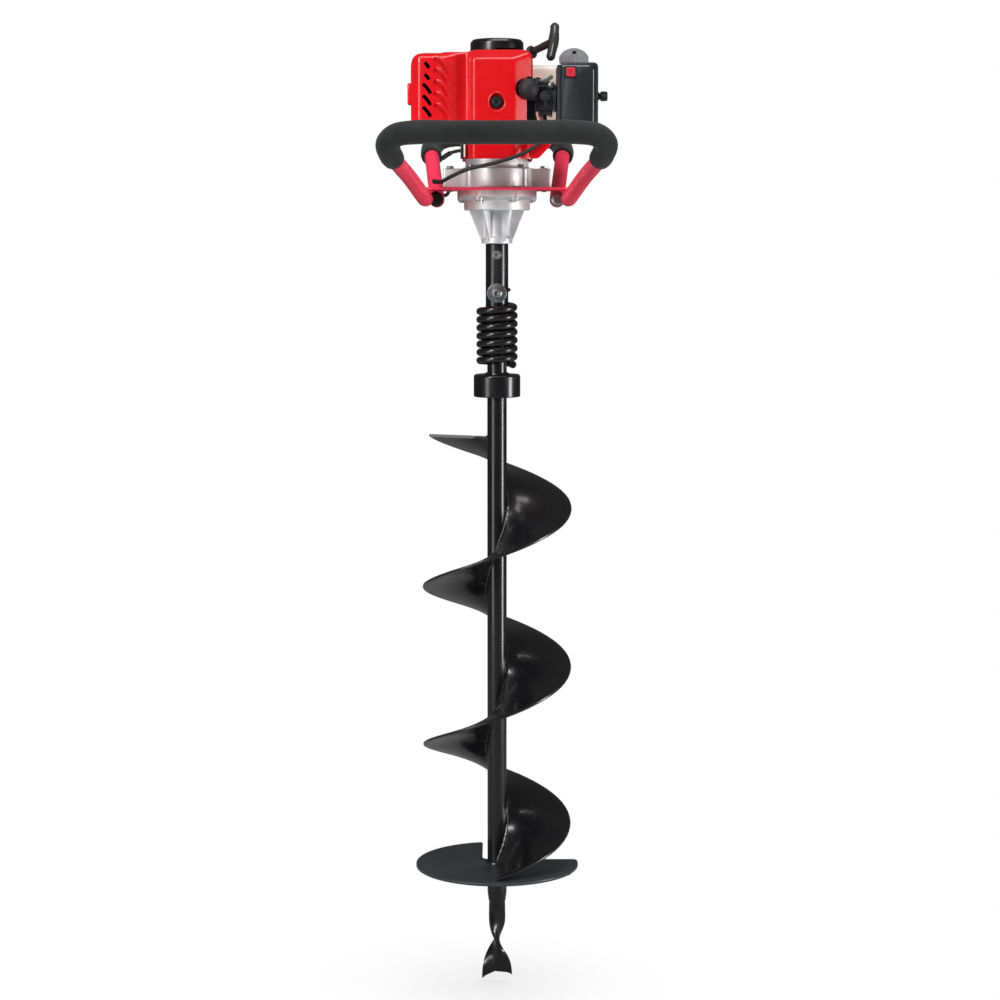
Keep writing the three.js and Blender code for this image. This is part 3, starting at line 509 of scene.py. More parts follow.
def prism(name, outline, low, high, material, soft=0.6, to_world=mm):
    """Plate with softened edges: a 2-D outline in millimetres between two heights."""
    count = len(outline)
    turn = 1 if area(outline) > 0 else -1

    def inset(distance):
        made = []
        for i in range(count):
            along = Vector(outline[(i + 1) % count]) - Vector(outline[i - 1])
            outward = Vector((along.y, -along.x)).normalized() * turn
            made.append(Vector(outline[i]) - outward * distance)
        return made

    steps = 6 if soft > 2 else 3
    curve = []
    for k in range(steps + 1):
        angle = k / steps * math.pi / 2
        curve.append((soft * (1 - math.sin(angle)), soft * (1 - math.cos(angle))))
    levels = [(d, low + h) for d, h in curve] + [(d, high - h) for d, h in reversed(curve)]
    return loft(name, [[to_world(p.x, p.y, z) for p in inset(d)] for d, z in levels], material)


def area(outline):
    total = 0.0
    for i, (x, y) in enumerate(outline):
        ahead = outline[(i + 1) % len(outline)]
        total += x * ahead[1] - ahead[0] * y
    return total / 2


def box_outline(x0, x1, y0, y1, r, steps=5):
    return rounded([(x0, y0), (x1, y0), (x1, y1), (x0, y1)], r, True, steps)


def upright(x, y, z):
    """Outline in X and Z with depth along Y."""
    return mm(x, -z, y)


def moved(piece, matrix):
    piece.data.transform(matrix)
    return piece


def aimed(piece, start, direction):
    """Turns a piece built up +Z from the origin to a start in millimetres and a direction."""
    turn = Vector((0, 0, 1)).rotation_difference(Vector(direction).normalized())
    return moved(piece, Matrix.Translation(mm(*start)) @ turn.to_matrix().to_4x4())


def applied(piece):
    """Turns the piece's modifiers into its mesh."""
    depsgraph = bpy.context.evaluated_depsgraph_get()
    made = bpy.data.meshes.new_from_object(piece.evaluated_get(depsgraph))
    piece.modifiers.clear()
    piece.data = made
    return piece


def add_remesh(piece, voxel):
    remesh = piece.modifiers.new("remesh", "REMESH")
    remesh.mode = "VOXEL"
    remesh.voxel_size = voxel / 1000


def boolean(base, others, operation):
    for other in others:
        modifier = base.modifiers.new(operation, "BOOLEAN")
        modifier.operation = operation
        modifier.solver = "EXACT"
        modifier.object = other
    applied(base)
    for other in others:
        bpy.data.objects.remove(other)
    shade(base)
    return base


def fuse(base, *others):
    return boolean(base, others, "UNION")


def carve(base, *others):
    return boolean(base, others, "DIFFERENCE")


def rod(name, radius, start, direction, length, material="steel", sides=32, soft=SHARP):
    profile = [(0, 0), (radius, 0), (radius, length), (0, length)]
    return aimed(turned(name, profile, material, soft, sides), start, direction)


def block(name, x0, x1, y0, y1, z0, z1, material="steel", r=1.0, soft=0.8):
    return prism(name, box_outline(x0, x1, y0, y1, r), z0, z1, material, soft)


def refined(node, bevel=0.5, crease=32):
    """A finer copy of a CAD node: shared vertices, merged flat faces and softened edges."""
    source = frame["nodes"][node]
    mesh = source.data.copy()
    tidy = bmesh.new()
    tidy.from_mesh(mesh)
    bmesh.ops.remove_doubles(tidy, verts=tidy.verts, dist=2e-6)
    flat = math.radians(1.0)
    bmesh.ops.dissolve_limit(tidy, angle_limit=flat, verts=tidy.verts, edges=tidy.edges)
    bmesh.ops.recalc_face_normals(tidy, faces=tidy.faces)
    tidy.to_mesh(mesh)
    tidy.free()
    mesh.materials.clear()
    mesh.materials.append(MATERIALS[node_slot[node]])
    piece = bpy.data.objects.new(node + "_fine", mesh)
    bpy.context.scene.collection.objects.link(piece)
    if mesh.has_custom_normals:
        mesh.attributes.remove(mesh.attributes["custom_normal"])
    shade(piece, crease)
    if bevel:
        modifier = piece.modifiers.new("soft edges", "BEVEL")
        modifier.width = bevel / 1000
        modifier.segments = 2
        modifier.limit_method = "ANGLE"
        modifier.angle_limit = math.radians(crease)
    piece["slot_name"] = node_slot[node]
    return stand_for(piece, node)


# ---- Bit --------------------------------------------------------------------------------
POLE_R = 13.0
POLE_WALL = 2.5
FLIGHT_R = 100.0
FLIGHT_PITCH = 215.0
FLIGHT_START = -math.pi / 2
FLIGHT_THICK = 4.0
FLIGHT_STEPS = 56
DISC_R = 110.0


def make_flight():
    _, _, (z0, z1) = box_mm("auger_flight")
    half = FLIGHT_THICK / 2
    bottom = z0 + half
    rise = z1 - z0 - FLIGHT_THICK
    turns = rise / FLIGHT_PITCH
    radial = [mix(POLE_R + 0.2, FLIGHT_R - 1.5, i / 10) for i in range(11)]
    section = [(r, -half) for r in radial]
    section += [(FLIGHT_R - 0.4, -0.7 * half), (FLIGHT_R, 0), (FLIGHT_R - 0.4, 0.7 * half)]
    section += [(r, half) for r in reversed(radial)]
    steps = round(turns * FLIGHT_STEPS)
    rings = []
    for i in range(steps + 1):
        angle = FLIGHT_START + i / steps * turns * 2 * math.pi
        height = bottom + i / steps * rise
        rings.append([helix_point(r, angle, height + dz) for r, dz in section])
    stand_for(loft("flight", rings, "black_paint"), "auger_flight")
    for side, name in ((1, "flight_weld_upper"), (-1, "flight_weld_lower")):
        on_body(weld_bead(name, bottom + side * 2.4, rise, turns), "bit")


def weld_bead(name, bottom, rise, turns):
    """Weld along the flight's foot, with ripples and a slightly uneven thickness."""
    steps = 420
    points = []
    for i in range(steps + 1):
        angle = FLIGHT_START + i / steps * turns * 2 * math.pi
        points.append(helix_point(POLE_R + 0.9, angle, bottom + i / steps * rise))

    def ripple(t):
        return 1.7 + 0.35 * abs(math.sin(t * steps * 0.55)) + 0.25 * noise.noise(Vector((t * 60, 0, 0)))

    return sweep(name, points, ripple, "black_paint", 8)


def ring_weld(name, radius, height, body, size=1.6):
    """Weld bead once round the axis, with a slightly uneven thickness."""
    rings = []
    for i, angle in enumerate(steps_round(90)):
        centre = helix_point(radius, angle, height)
        out = Vector((centre.x, centre.y, 0)).normalized()
        ripple = 0.3 * abs(math.sin(i * 1.3)) + 0.2 * noise.noise(Vector((i * 0.4, radius, 0)))
        r = (size + ripple) / 1000
        rings.append([centre + (out * math.cos(a) + UP * math.sin(a)) * r for a in steps_round(8)])
    on_body(loft(name, rings, "black_paint", looped=True), body)


def make_pole():
    _, _, (z0, z1) = box_mm("auger_pole")
    stand_for(tube("pole", POLE_R - POLE_WALL, POLE_R, z0, z1, "black_paint", 0.7), "auger_pole")
    (_, outer), _, (z0, z1) = box_mm("depth_collar")
    inner = POLE_R + 0.3
    profile = [(inner, z0), (outer - 1, z0), (outer, z0 + 1), (outer, z1 - 2), (outer - 2, z1), (inner, z1)]
    stand_for(turned("collar", profile, "black_paint", 1.4, 80, True), "depth_collar")
    ring_weld("collar_weld", POLE_R + 1.2, z1 + 0.6, "bit")


def make_disc():
    """Round plate with a missing sector between its left and front edges."""
    _, _, (z0, z1) = box_mm("cutter_disc")
    left, front = -20.0, 16.0
    start = math.asin(front / DISC_R)
    end = -2 * math.pi + math.acos(left / DISC_R)
    steps = 110
    rim = []
    for i in range(steps + 1):
        angle = mix(start, end, i / steps)
        rim.append(Vector((DISC_R * math.cos(angle), DISC_R * math.sin(angle))))
    corner = 7.0
    inside = (left, front + 1)
    first = rounded([inside, (DISC_R * math.cos(start), front), rim[3]], corner, False)
    last = rounded([rim[-4], (left, rim[-1].y), inside], corner, False)
    inner = rounded([(left, 60), (left, front), (60, front)], 12, False)
    outline = first[1:-1] + rim[3:-3] + last[1:-1] + inner[1:-1]
    disc = prism("disc", outline[::-1], z0, z1, "slate_paint", 0.7)
    carve(disc, rod("pole_hole", POLE_R + 0.3, (0, 0, z0 - 5), UP, 20))
    stand_for(disc, "cutter_disc")
    ring_weld("disc_weld_upper", POLE_R + 1.0, z1 + 0.5, "bit", 2.0)
    ring_weld("disc_weld_lower", POLE_R + 1.0, z0 - 0.5, "bit", 2.2)


def make_pilot():
    """Twisted flat bar with a notched lower end, in a conical ferrule."""
    _, _, (_, top) = box_mm("pilot_point")
    bar_top = 106.0
    notch, short = 13.0, 5.0
    columns, rows = 16, 70
    rings = []
    for row in range(rows + 1):
        ring = []
        for face, span in ((1, range(columns + 1)), (-1, range(columns, -1, -1))):
            for i in span:
                share = i / columns * 2 - 1
                end = notch * (1 - abs(share)) ** 0.8 + max(-share, 0) * short
                ring.append(pilot_point(share, face, mix(end, bar_top, row / rows), row / rows))
        rings.append(ring)
    bar = loft("pilot_bar", rings, "black_paint", crease=50)
    cone = [(0, 100), (8.5, 101), (11.5, 110), (POLE_R, 122), (POLE_R, top), (0, top)]
    ferrule = turned("ferrule", cone, "black_paint", 3.0)
    stand_for(fuse(ferrule, bar), "pilot_point")
    ring_weld("ferrule_weld", POLE_R + 0.2, top + 0.2, "bit", 1.5)


def pilot_point(share, face, z, rise):
    """A point of the twisted flat bar, thinner at its prongs and its edges."""
    flare = smooth(70 - z, 0, 66)
    width = mix(22, 41, flare)
    thick = mix(7.5, 3.6, flare) * (1 - 0.35 * share**4) * mix(0.35, 1, smooth(rise, 0, 0.12))
    twist = math.pi * smooth(103 - z, 0, 95)
    x = share / 2 * width
    y = face * thick / 2
    return mm(
        x * math.cos(twist) - y * math.sin(twist),
        x * math.sin(twist) + y * math.cos(twist),
        z,
    )


def make_bit():
    make_flight()
    make_pole()
    make_disc()
    make_pilot()
    for index in (1, 2):
        for node in (f"cutter_blade_{index}", f"blade_bolt_{index}"):
            refined(node, 0.5)


# ---- Spring and socket -------------------------------------------------------------------
SOCKET_R = 15.0
SOCKET_WALL = 4.7
SPRING_R = 22.5
SPRING_WIRE_R = 5.1


def make_spring():
    _, _, (z0, z1) = box_mm("windup_spring")
    bottom, top = z0 + SPRING_WIRE_R, z1 - SPRING_WIRE_R
    turns = 7.2
    steps = 330
    points = []
    for i in range(steps + 1):
        t = i / steps
        near_end = min(t, 1 - t) * turns / 0.3
        radius = mix(SOCKET_R + SPRING_WIRE_R + 0.8, SPRING_R, smooth(near_end))
        points.append(helix_point(radius, t * turns * 2 * math.pi, mix(bottom, top, t)))
    spring = sweep("spring", points, SPRING_WIRE_R, "black_paint", 18, 1.2)
    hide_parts("windup_spring")
    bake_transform(spring)


def hex_head(name, size, start, direction, height, material="zinc"):
    corners = rounded(ellipse(size, size, 6), 0.5, True, 2)
    return aimed(prism(name, corners, 0, height, material, 0.6), start, direction)


def make_socket():
    _, _, (z0, z1) = box_mm("socket_tube")
    bolt_z = sum(box_mm("socket_washer")[2]) / 2
    screw_z = 986.0
    socket = tube("socket", SOCKET_R - SOCKET_WALL, SOCKET_R, z0, z1, "black_paint", 0.9)
    carve(
        socket,
        rod("bolt_hole", 4.4, (0, -40, bolt_z), BACK, 80),
        rod("screw_hole", 3.3, (0, -30, screw_z), BACK, 28),
    )
    stand_for(socket, "socket_tube")
    washer = tube("washer", 4.4, 13, 0, 2.2, "zinc", 0.5, 48)
    stand_for(aimed(washer, (0, -19, bolt_z), BACK), "socket_washer")
    head_profile = [(0, 0), (5.2, 0.2), (7.2, 2.2), (7.5, 4), (7.5, 6.5), (0, 6.5)]
    head = aimed(turned("bolt_head", head_profile, "zinc", 0.7, 40), (0, -26, bolt_z), BACK)
    carve(head, hex_head("bolt_recess", 3.6, (0, -27, bolt_z), BACK, 4.4))
    shank = rod("bolt_shank", 4, (0, -20, bolt_z), BACK, 42, "zinc", soft=0.5)
    stand_for(fuse(head, shank), "socket_bolt")
    cap = turned("set_screw", [(0, 0), (6, 0), (6, 3.6), (3.2, 3.6), (3.2, 9), (0, 9)], "zinc", 0.6, 32)
    aimed(cap, (0, -19.4, screw_z), BACK)
    on_body(carve(cap, hex_head("hex_recess", 3.0, (0, -20, screw_z), BACK, 3.4)), "output")
    clip = turned("bolt_clip", [(0, 0), (2.7, 0), (2.7, 2), (1.4, 4.4), (0, 4.8)], "rubber", 0.6, 24)
    on_body(aimed(clip, (SOCKET_R - 1.4, -5, bolt_z + 4), (1, -0.15, 0)), "output")
    refined("output_shaft", 0.6)
    refined("output_gear", 0)
    ring_weld("socket_weld", SOCKET_R + 0.6, z0 + 6, "output", 2.0)


# ---- Frame --------------------------------------------------------------------------------
GRIP_Y = 258.0
BAR_SIDES = {
    "front": [
        (94, 4, 1059.5), (94, 36, 1059.5), (94.5, 68, 1060.5), (110, 137, 1084), (127, 215, 1105.5),
        (130.5, 230, 1111.5), (132.5, 247, 1123), (122, 256.5, 1132.5), (98, GRIP_Y, 1136),
        (45, GRIP_Y, 1136),
    ],
    "rear": [
        (81, 4, 1059.5), (81, 36, 1059.5), (81, 68, 1060), (86, 137, 1089), (92, 215, 1121),
        (93.5, 228, 1127), (91, 242, 1136.5), (82, 253.5, 1146), (64, GRIP_Y, 1151), (40, GRIP_Y, 1151),
    ],
}
BAR_R = 10.0
BAR_WALL = 1.8
GRIP_R = 14.5
GRIP_START = 0.215


def make_handlebar(place, front, sleeves):
    """Bar and its foam. sleeves gives each sleeve's node and the stretch of X, in metres, that it covers."""
    half = [(x, front * y, z) for x, y, z in BAR_SIDES[place]]
    other = [(-x, y, z) for x, y, z in reversed(half)]
    path = spline(half + other, 3.0)
    bar = sweep(f"{place}_bar", path, BAR_R, "frame_red", 28, 1.0)
    end_x, end_y, end_z = half[0]
    bores = [
        rod("bore", BAR_R - BAR_WALL, (side * end_x, end_y * 0.75, end_z), (0, front, 0), 22)
        for side in (1, -1)
    ]
    stand_for(carve(bar, *bores), f"{place}_handlebar")
    for node, (start, end) in sleeves.items():
        covered = [p for p in path if abs(p.y) > GRIP_START and start < p.x < end]
        sleeve = sweep(f"{node}_foam", covered, grip_radius, "foam", 36, 2.4)
        stand_for(sleeve, node)


def grip_radius(t):
    """Foam's radius ripples a little along its length, and is drawn in a little at its cut ends."""
    end = min(t, 1 - t)
    return GRIP_R - 0.7 * (1 - smooth(end, 0, 0.02)) - 0.15 * math.sin(t * 40)


def make_frame():
    make_handlebar("front", -1, {"front_grip": (-1, 1)})
    gap_low = THROTTLE.x / 1000 - 0.0155
    gap_high = THROTTLE.x / 1000 + 0.0135
    make_handlebar("rear", 1, {"rear_grip_left": (-1, gap_low), "rear_grip_right": (gap_high, 1)})
    refined("frame_plate", 0.6)
    for side in ("left", "right"):
        refined(f"lug_bolt_{side}", 0.5)
    end_x, end_y, end_z = BAR_SIDES["rear"][0]
    profile = [(0, 0), (6.5, 0), (9.2, 1.4), (9.8, 2.6), (9.8, 3.4), (8.0, 3.4), (8.0, 12), (0, 12)]
    # The left plug is dark rubber and the right one bright zinc: painted shade on the left end and a painted
    # highlight on the right end, which differ only in how light falls.
    for name, x, slot in (("left", -end_x, "rubber"), ("right", end_x, "zinc")):
        plug = turned(f"bar_plug_{name}", profile, slot, 0.6, 40)
        on_body(aimed(plug, (x, end_y - 3.2, end_z), BACK))


# ---- Engine cover -------------------------------------------------------------------------
COVER_FRONT = 105.0
COVER_BACK = 45.0
COVER_TOP = 1248.0
COVER_BOTTOM = 1109.0
SIDE_FRONT = 102.0
SIDE_BOTTOM = 1140.0
COVER_WALL = 2.6
SCREW_Z = 1180.5
LOUVRE_ROWS = 5
LOUVRE_BOTTOM = 1168.0
LOUVRE_PITCH = 14.6
PRIMER = (40.0, -96.4, 1197.0)
PRIMER_R = 13.0


def slab(name, x0, x1, z0, z1, front, back, radius, material="cover_red", soft=1.0):
    """Block with a rounded outline in X and Z, from Y -front to Y back."""
    return prism(name, box_outline(x0, x1, z0, z1, radius), -back, front, material, soft, upright)


def across(x, y, z):
    """Outline in Y and Z with depth along X."""
    return mm(z, x, y)


def cover_solid():
    """The cover's outer form before it is smoothed and hollowed."""
    low = COVER_BOTTOM - 34
    main = slab("cover_solid", -40, 46, low, COVER_TOP, COVER_FRONT, COVER_BACK, 15)
    side = slab("cover_side", -110, -44, low, COVER_TOP - 5, SIDE_FRONT, 30, 17)
    bridge = slab("cover_bridge", -70, -20, low, COVER_TOP - 3.5, 103, 30, 4)
    fuse(main, side, bridge)
    top_slope = [(-126, 1222), (-63, 1261), (-126, 1261)]
    carve(main, prism("top_slope", top_slope, -130, 70, "cover_red", SHARP, across))
    facets = {
        "right_facet": [(-4, -120), (71, -75), (71, -120)],
        "left_facet": [(-90, -114), (-120, -78), (-120, -114)],
        "valley": [(-76, -107), (-44, -92), (-37, -91.5), (-29, -108)],
    }
    for name, outline in facets.items():
        carve(main, prism(name, outline, low - 20, COVER_TOP + 20, "cover_red", SHARP))
    return main


def softened(piece, voxel, rounds):
    """Even small faces, then smoothing, for a moulded form with soft edges."""
    add_remesh(piece, voxel)
    smoothing = piece.modifiers.new("smooth", "SMOOTH")
    smoothing.factor = 0.5
    smoothing.iterations = rounds
    return applied(piece)


def joined(name, pieces):
    """Several separate bodies as one object."""
    mesh = bmesh.new()
    for piece in pieces:
        mesh.from_mesh(piece.data)
    pieces[0].name = name
    mesh.to_mesh(pieces[0].data)
    mesh.free()
    for piece in pieces[1:]:
        bpy.data.objects.remove(piece)
    shade(pieces[0])
    return pieces[0]


def slant(row, left, right, drop, bow, shift=0.0):
    """A bowed line on the cover's front, in X and Z, that falls to the right."""
    middle = LOUVRE_BOTTOM + row * LOUVRE_PITCH
    line = []
    for i in range(13):
        t = i / 12
        offset = (bow * math.sin(math.pi * t) + shift) * 0.7
        line.append(Vector((mix(left, right, t) + offset, middle + mix(drop, -drop, t) + offset)))
    return line


def vent_line(row):
    """The short open slots of the left column, shorter still in the top two rows."""
    reach = 1.0 if row < LOUVRE_ROWS - 2 else 0.55
    return slant(row, -89.2 - 5.0 * reach, -89.2 + 5.0 * reach, 6.2 * reach, 0.8)


def groove_line(row, shift=0.0):
    return slant(row, -80.0, -62.5, 9.0, 2.4, shift)


def strip_outline(line, half):
    """A band of even width round a line, with rounded ends."""
    left, right = [], []
    for i, here in enumerate(line):
        along = (line[min(i + 1, len(line) - 1)] - line[max(i - 1, 0)]).normalized()
        normal = Vector((-along.y, along.x))
        left.append(here + normal * half)
        right.append(here - normal * half)
    return rounded(left + right[::-1], half * 0.9, True, 3)


def front_cut(name, line, depth):
    """Cutter for a slot along a line on the cover's front, from a depth to in front of it."""
    return prism(name, strip_outline(line, 2.3), depth, 112, "cover_red", SHARP, upright)


def shrunk(piece, by):
    """A copy whose surface lies `by` millimetres inside the piece."""
    inner = piece.copy()
    inner.data = piece.data.copy()
    bpy.context.scene.collection.objects.link(inner)
    shrink = inner.modifiers.new("shrink", "DISPLACE")
    shrink.mid_level = 0.0
    shrink.strength = -by / 1000
    add_remesh(inner, 2.2)
    return applied(inner)


def cover_shell():
    shell = softened(cover_solid(), 1.8, 16)
    carve(shell, shrunk(shell, COVER_WALL))
    below = block("below", -140, 90, -140, 80, COVER_BOTTOM - 60, COVER_BOTTOM, soft=SHARP)
    carve(shell, below)
    return shell


def make_cover():
    shell = cover_shell()
    holes = [
        *(front_cut(f"vent_{row}", vent_line(row), 90) for row in range(LOUVRE_ROWS)),
        *(front_cut(f"groove_{row}", groove_line(row), 99.9) for row in range(LOUVRE_ROWS)),
        prism("recess", ellipse(10, 11.5, 40, SCREW_Z), 95, 112, "cover_red", SHARP, upright),
        rod("top_hole", 30, (0, 0, COVER_TOP - 9), UP, 14),
        rod("housing_hole", 42.5, (0, 0, 1100), UP, 31, sides=64),
        block("window", 38, 52, -98, -28, 1150, 1213, r=5, soft=SHARP),
        block("exhaust_hole", -114, -104, -76, -44, 1177, 1208, soft=SHARP),
        block("side_bottom", -130, -46, -130, 70, 1080, SIDE_BOTTOM, r=0.5, soft=SHARP),
    ]
    carve(shell, joined("holes", holes))
    primer_front = (PRIMER[0], -115, PRIMER[2])
    carve(shell, rod("primer_hole", PRIMER_R + 3, primer_front, BACK, 17.5))
    carve(shell, rod("primer_travel", PRIMER_R + 1, primer_front, BACK, 25.5))
    carve(shell, rod("rope_hole", 4.4, HANDLE - PULL * 70, PULL, 40))
    shell.data.materials.clear()
    shell.data.materials.append(MATERIALS["cover_red"])
    shade(shell, 50)
    shell.name = "engine_cover_shell"
    stand_for(shell, "engine_cover")
    cover_trim()
    cover_details()


def lip_radius(t):
    return 0.5 + 1.4 * math.sin(math.pi * t) ** 0.6


def cover_trim():
    """Raised lips beside the louvres, a rim round the screw recess, and the corner flap."""
    y = -SIDE_FRONT + 0.7
    for row in range(LOUVRE_ROWS):
        line = groove_line(row, 4.2)
        points = [mm(p.x, y - 0.7 * math.sin(math.pi * k / 12), p.y) for k, p in enumerate(line)]
        on_body(sweep(f"louvre_lip_{row}", points, lip_radius, "cover_red", 12))
    rings = []
    for a in steps_round(56):
        centre = mm(10.6 * math.cos(a), -COVER_FRONT + 0.2, SCREW_Z + 12.1 * math.sin(a))
        out = Vector((math.cos(a), 0, math.sin(a)))
        turns = steps_round(10)
        rings.append([centre + (out * math.cos(b) + BACK * math.sin(b)) * 0.0013 for b in turns])
    on_body(loft("recess_rim", rings, "cover_red", looped=True))
    cup = prism("recess_cup", ellipse(10.4, 11.9, 40, SCREW_Z), 98.4, 103.4, "cover_red", 0.4, upright)
    hollow = prism("cup_hollow", ellipse(9.2, 10.7, 40, SCREW_Z), 99.4, 106, "cover_red", SHARP, upright)
    on_body(carve(cup, hollow))
    flap = [(41, COVER_BOTTOM), (53, COVER_BOTTOM), (70, 1127), (70, 1138), (41, 1152)]
    on_body(prism("corner_flap", rounded(flap, 4, True, 3), 101, 104, "cover_red", 0.9, upright))
    bend = box_outline(67.6, 69.8, 1128, 1138, 0.8)
    on_body(prism("flap_return", bend, 92, 103.6, "cover_red", 0.6, upright))


def cover_details():
    """Screw in the recess, the strip and insert beside the lower panel, and the top fixings."""
    head = [(0, 0), (8, 0), (8, 2.2), (6.4, 3.4), (0, 3.4)]
    screw = turned("cover_screw_head", head, "dark_plastic", 0.7, 40)
    carve(screw, hex_head("screw_socket", 3.1, (0, 0, 1.4), UP, 4))
    stand_for(aimed(screw, (0, -99.6, SCREW_Z), (0, -1, 0)), "cover_screw")
    on_body(block("panel_edge", -46.5, -42.6, -101, -96, COVER_BOTTOM, 1131, "dark_plastic", 1.0, 0.6))
    on_body(block("panel_insert", -42.3, -40.4, -102, -97, 1111, 1130, "tank_plastic", 0.6, 0.4))
    profile = [(0, 0), (4.2, 0), (4.2, 1.6), (3, 2.6), (0, 2.6)]
    for x, y in ((-30, 38), (38, 38), (-100, 24)):
        head = turned(f"cover_fixing_{x + 100}", profile, "zinc", 0.5, 28)
        top = COVER_TOP if x > -60 else COVER_TOP - 5
        carve(head, hex_head("drive", 1.9, (0, 0, 1.2), UP, 3))
        on_body(aimed(head, (x, y - 8, top - 1.2), UP))


# ---- Starter ----------------------------------------------------------------------------
HANDLE = Vector((73, -30, 1262))
PULL = Vector((0.67694, -0.67694, 0.28897)).normalized()
HANDLE_STEM = 36.0
HANDLE_BAR = Vector((0.122, 0.49, 0.862)).normalized()


def make_starter():
    (_, outer), _, (low, top) = box_mm("recoil_housing")
    base = low + 0.2
    profile = [
        (0, top - 2.6), (outer - 4, top - 2.6), (outer - 3, top - 4), (outer - 2.6, base),
        (outer - 0.6, base), (outer, base + 1.2), (outer - 0.2, top - 5.5),
        (outer - 3.5, top - 1.6), (24, top - 0.7), (11, top), (0, top),
    ]
    cap = turned("recoil_cap", profile, "black_paint", 1.6, 96)
    slots = []
    for i, angle in enumerate(steps_round(12)):
        slot = prism(f"slot_{i}", box_outline(14, 27, -1.7, 1.7, 1.5), top - 8, top + 4, "black_paint", SHARP)
        slots.append(moved(slot, Matrix.Rotation(angle + 0.1, 4, "Z")))
    carve(cap, joined("slots", slots))
    exit_low = block("rope_slot", 20, 40, -26, 4, base - 4, base + 5.2, soft=SHARP)
    carve(cap, moved(exit_low, Matrix.Rotation(math.radians(-45), 4, "Z")))
    stand_for(cap, "recoil_housing")
    hub = turned("recoil_hub", [(0, 0), (9, 0), (9, 1.1), (7.5, 1.9), (0, 1.9)], "black_paint", 0.8, 48)
    on_body(aimed(hub, (0, 0, top - 2.4), UP))
    pulley = [
        (5.4, 1257.5), (29, 1257.5), (29, 1259), (24, 1260.5), (24, 1262.5),
        (29, 1264), (29, 1265.4), (5.4, 1265.4),
    ]
    stand_for(turned("pulley_wheel", pulley, "dark_plastic", 0.5, 72, True), "starter_pulley")
    make_handle()


def make_handle():
    """T-shaped handle with a bowed bar and a ribbed stem, and the rope's guide on the cover."""
    half = 29.0
    line = []
    for i in range(25):
        t = i / 24 * 2 - 1
        bow = PULL * (-2.2 * t * t + 0.8)
        line.append((HANDLE + HANDLE_BAR * (t * (half - 1)) + bow) / 1000)

    def bar_radius(t):
        edge = min(t, 1 - t) * 2 * half
        return (6.4 + 0.6 * math.cos((t - 0.5) * 9)) * (1 - 0.55 * (1 - smooth(edge, 0, 5)) ** 1.6)

    bar = sweep("starter_bar", line, bar_radius, "rubber", 32, 2.0)
    stem_profile = [
        (0, 0), (3.6, 0), (4.9, 1.5), (4.2, 4), (5.0, 5.5), (4.3, 8.5), (5.0, 10.5), (4.4, 13.5), (5.0, 16),
        (5.0, 30), (6.4, 37), (0, 39),
    ]
    stem = aimed(turned("starter_stem", stem_profile, "rubber", 1.0, 32), HANDLE - PULL * HANDLE_STEM, PULL)
    stand_for(fuse(bar, stem), "starter_handle")
    # A thin light grey ridge along the bar's front: a painted highlight line.
    side = Vector((0, -1, 0.1)).normalized()
    highlight_ridge = [p + side * 0.0063 for p in line[2:-2]]
    on_body(sweep("starter_ridge_painted_highlight", highlight_ridge, 0.9, "cap_grey", 10), "pull")
    guide_profile = [(3, 0), (7.5, 0), (8.6, 1.5), (8.6, 4), (6.4, 6), (3, 6)]
    guide = turned("rope_guide", guide_profile, "rubber", 0.9, 40, True)
    on_body(aimed(guide, HANDLE - PULL * (HANDLE_STEM + 7), PULL))
    make_rope()


def make_rope():
    """Three twisted strands from inside the cover to the handle's stem."""
    start = HANDLE - PULL * 54
    end = HANDLE - PULL * (HANDLE_STEM + 0.3)
    rows = 90
    side = PULL.orthogonal().normalized()
    up = PULL.cross(side)
    rings = []
    for row in range(rows + 1):
        centre = start.lerp(end, row / rows)
        ring = []
        for a in steps_round(24):
            radius = 1.75 + 0.25 * math.cos(3 * (a - row * 0.16))
            ring.append((centre + (side * math.cos(a) + up * math.sin(a)) * radius) / 1000)
        rings.append(ring)
    rope = loft("pull_rope", rings, "rubber", crease=60)
    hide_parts("starter_rope")
    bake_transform(rope)


# ---- Gearcase -----------------------------------------------------------------------------
CASE_SPLIT = 1074.0
CASE_R = 52.0
LUG_REACH = 71.0
HOUSING_R = 41.5
CASE_BOLTS = 6
BOLT_CIRCLE = 46.3
CASE_SCREWS = ((34, -30), (-34, -30), (34, 30), (-34, 30))


def make_gearcase():
    make_lower_case()
    make_upper_case()
    for node in ("layshaft", "clutch_drum", "output_bearing", "oil_seal"):
        refined(node, 0.3)


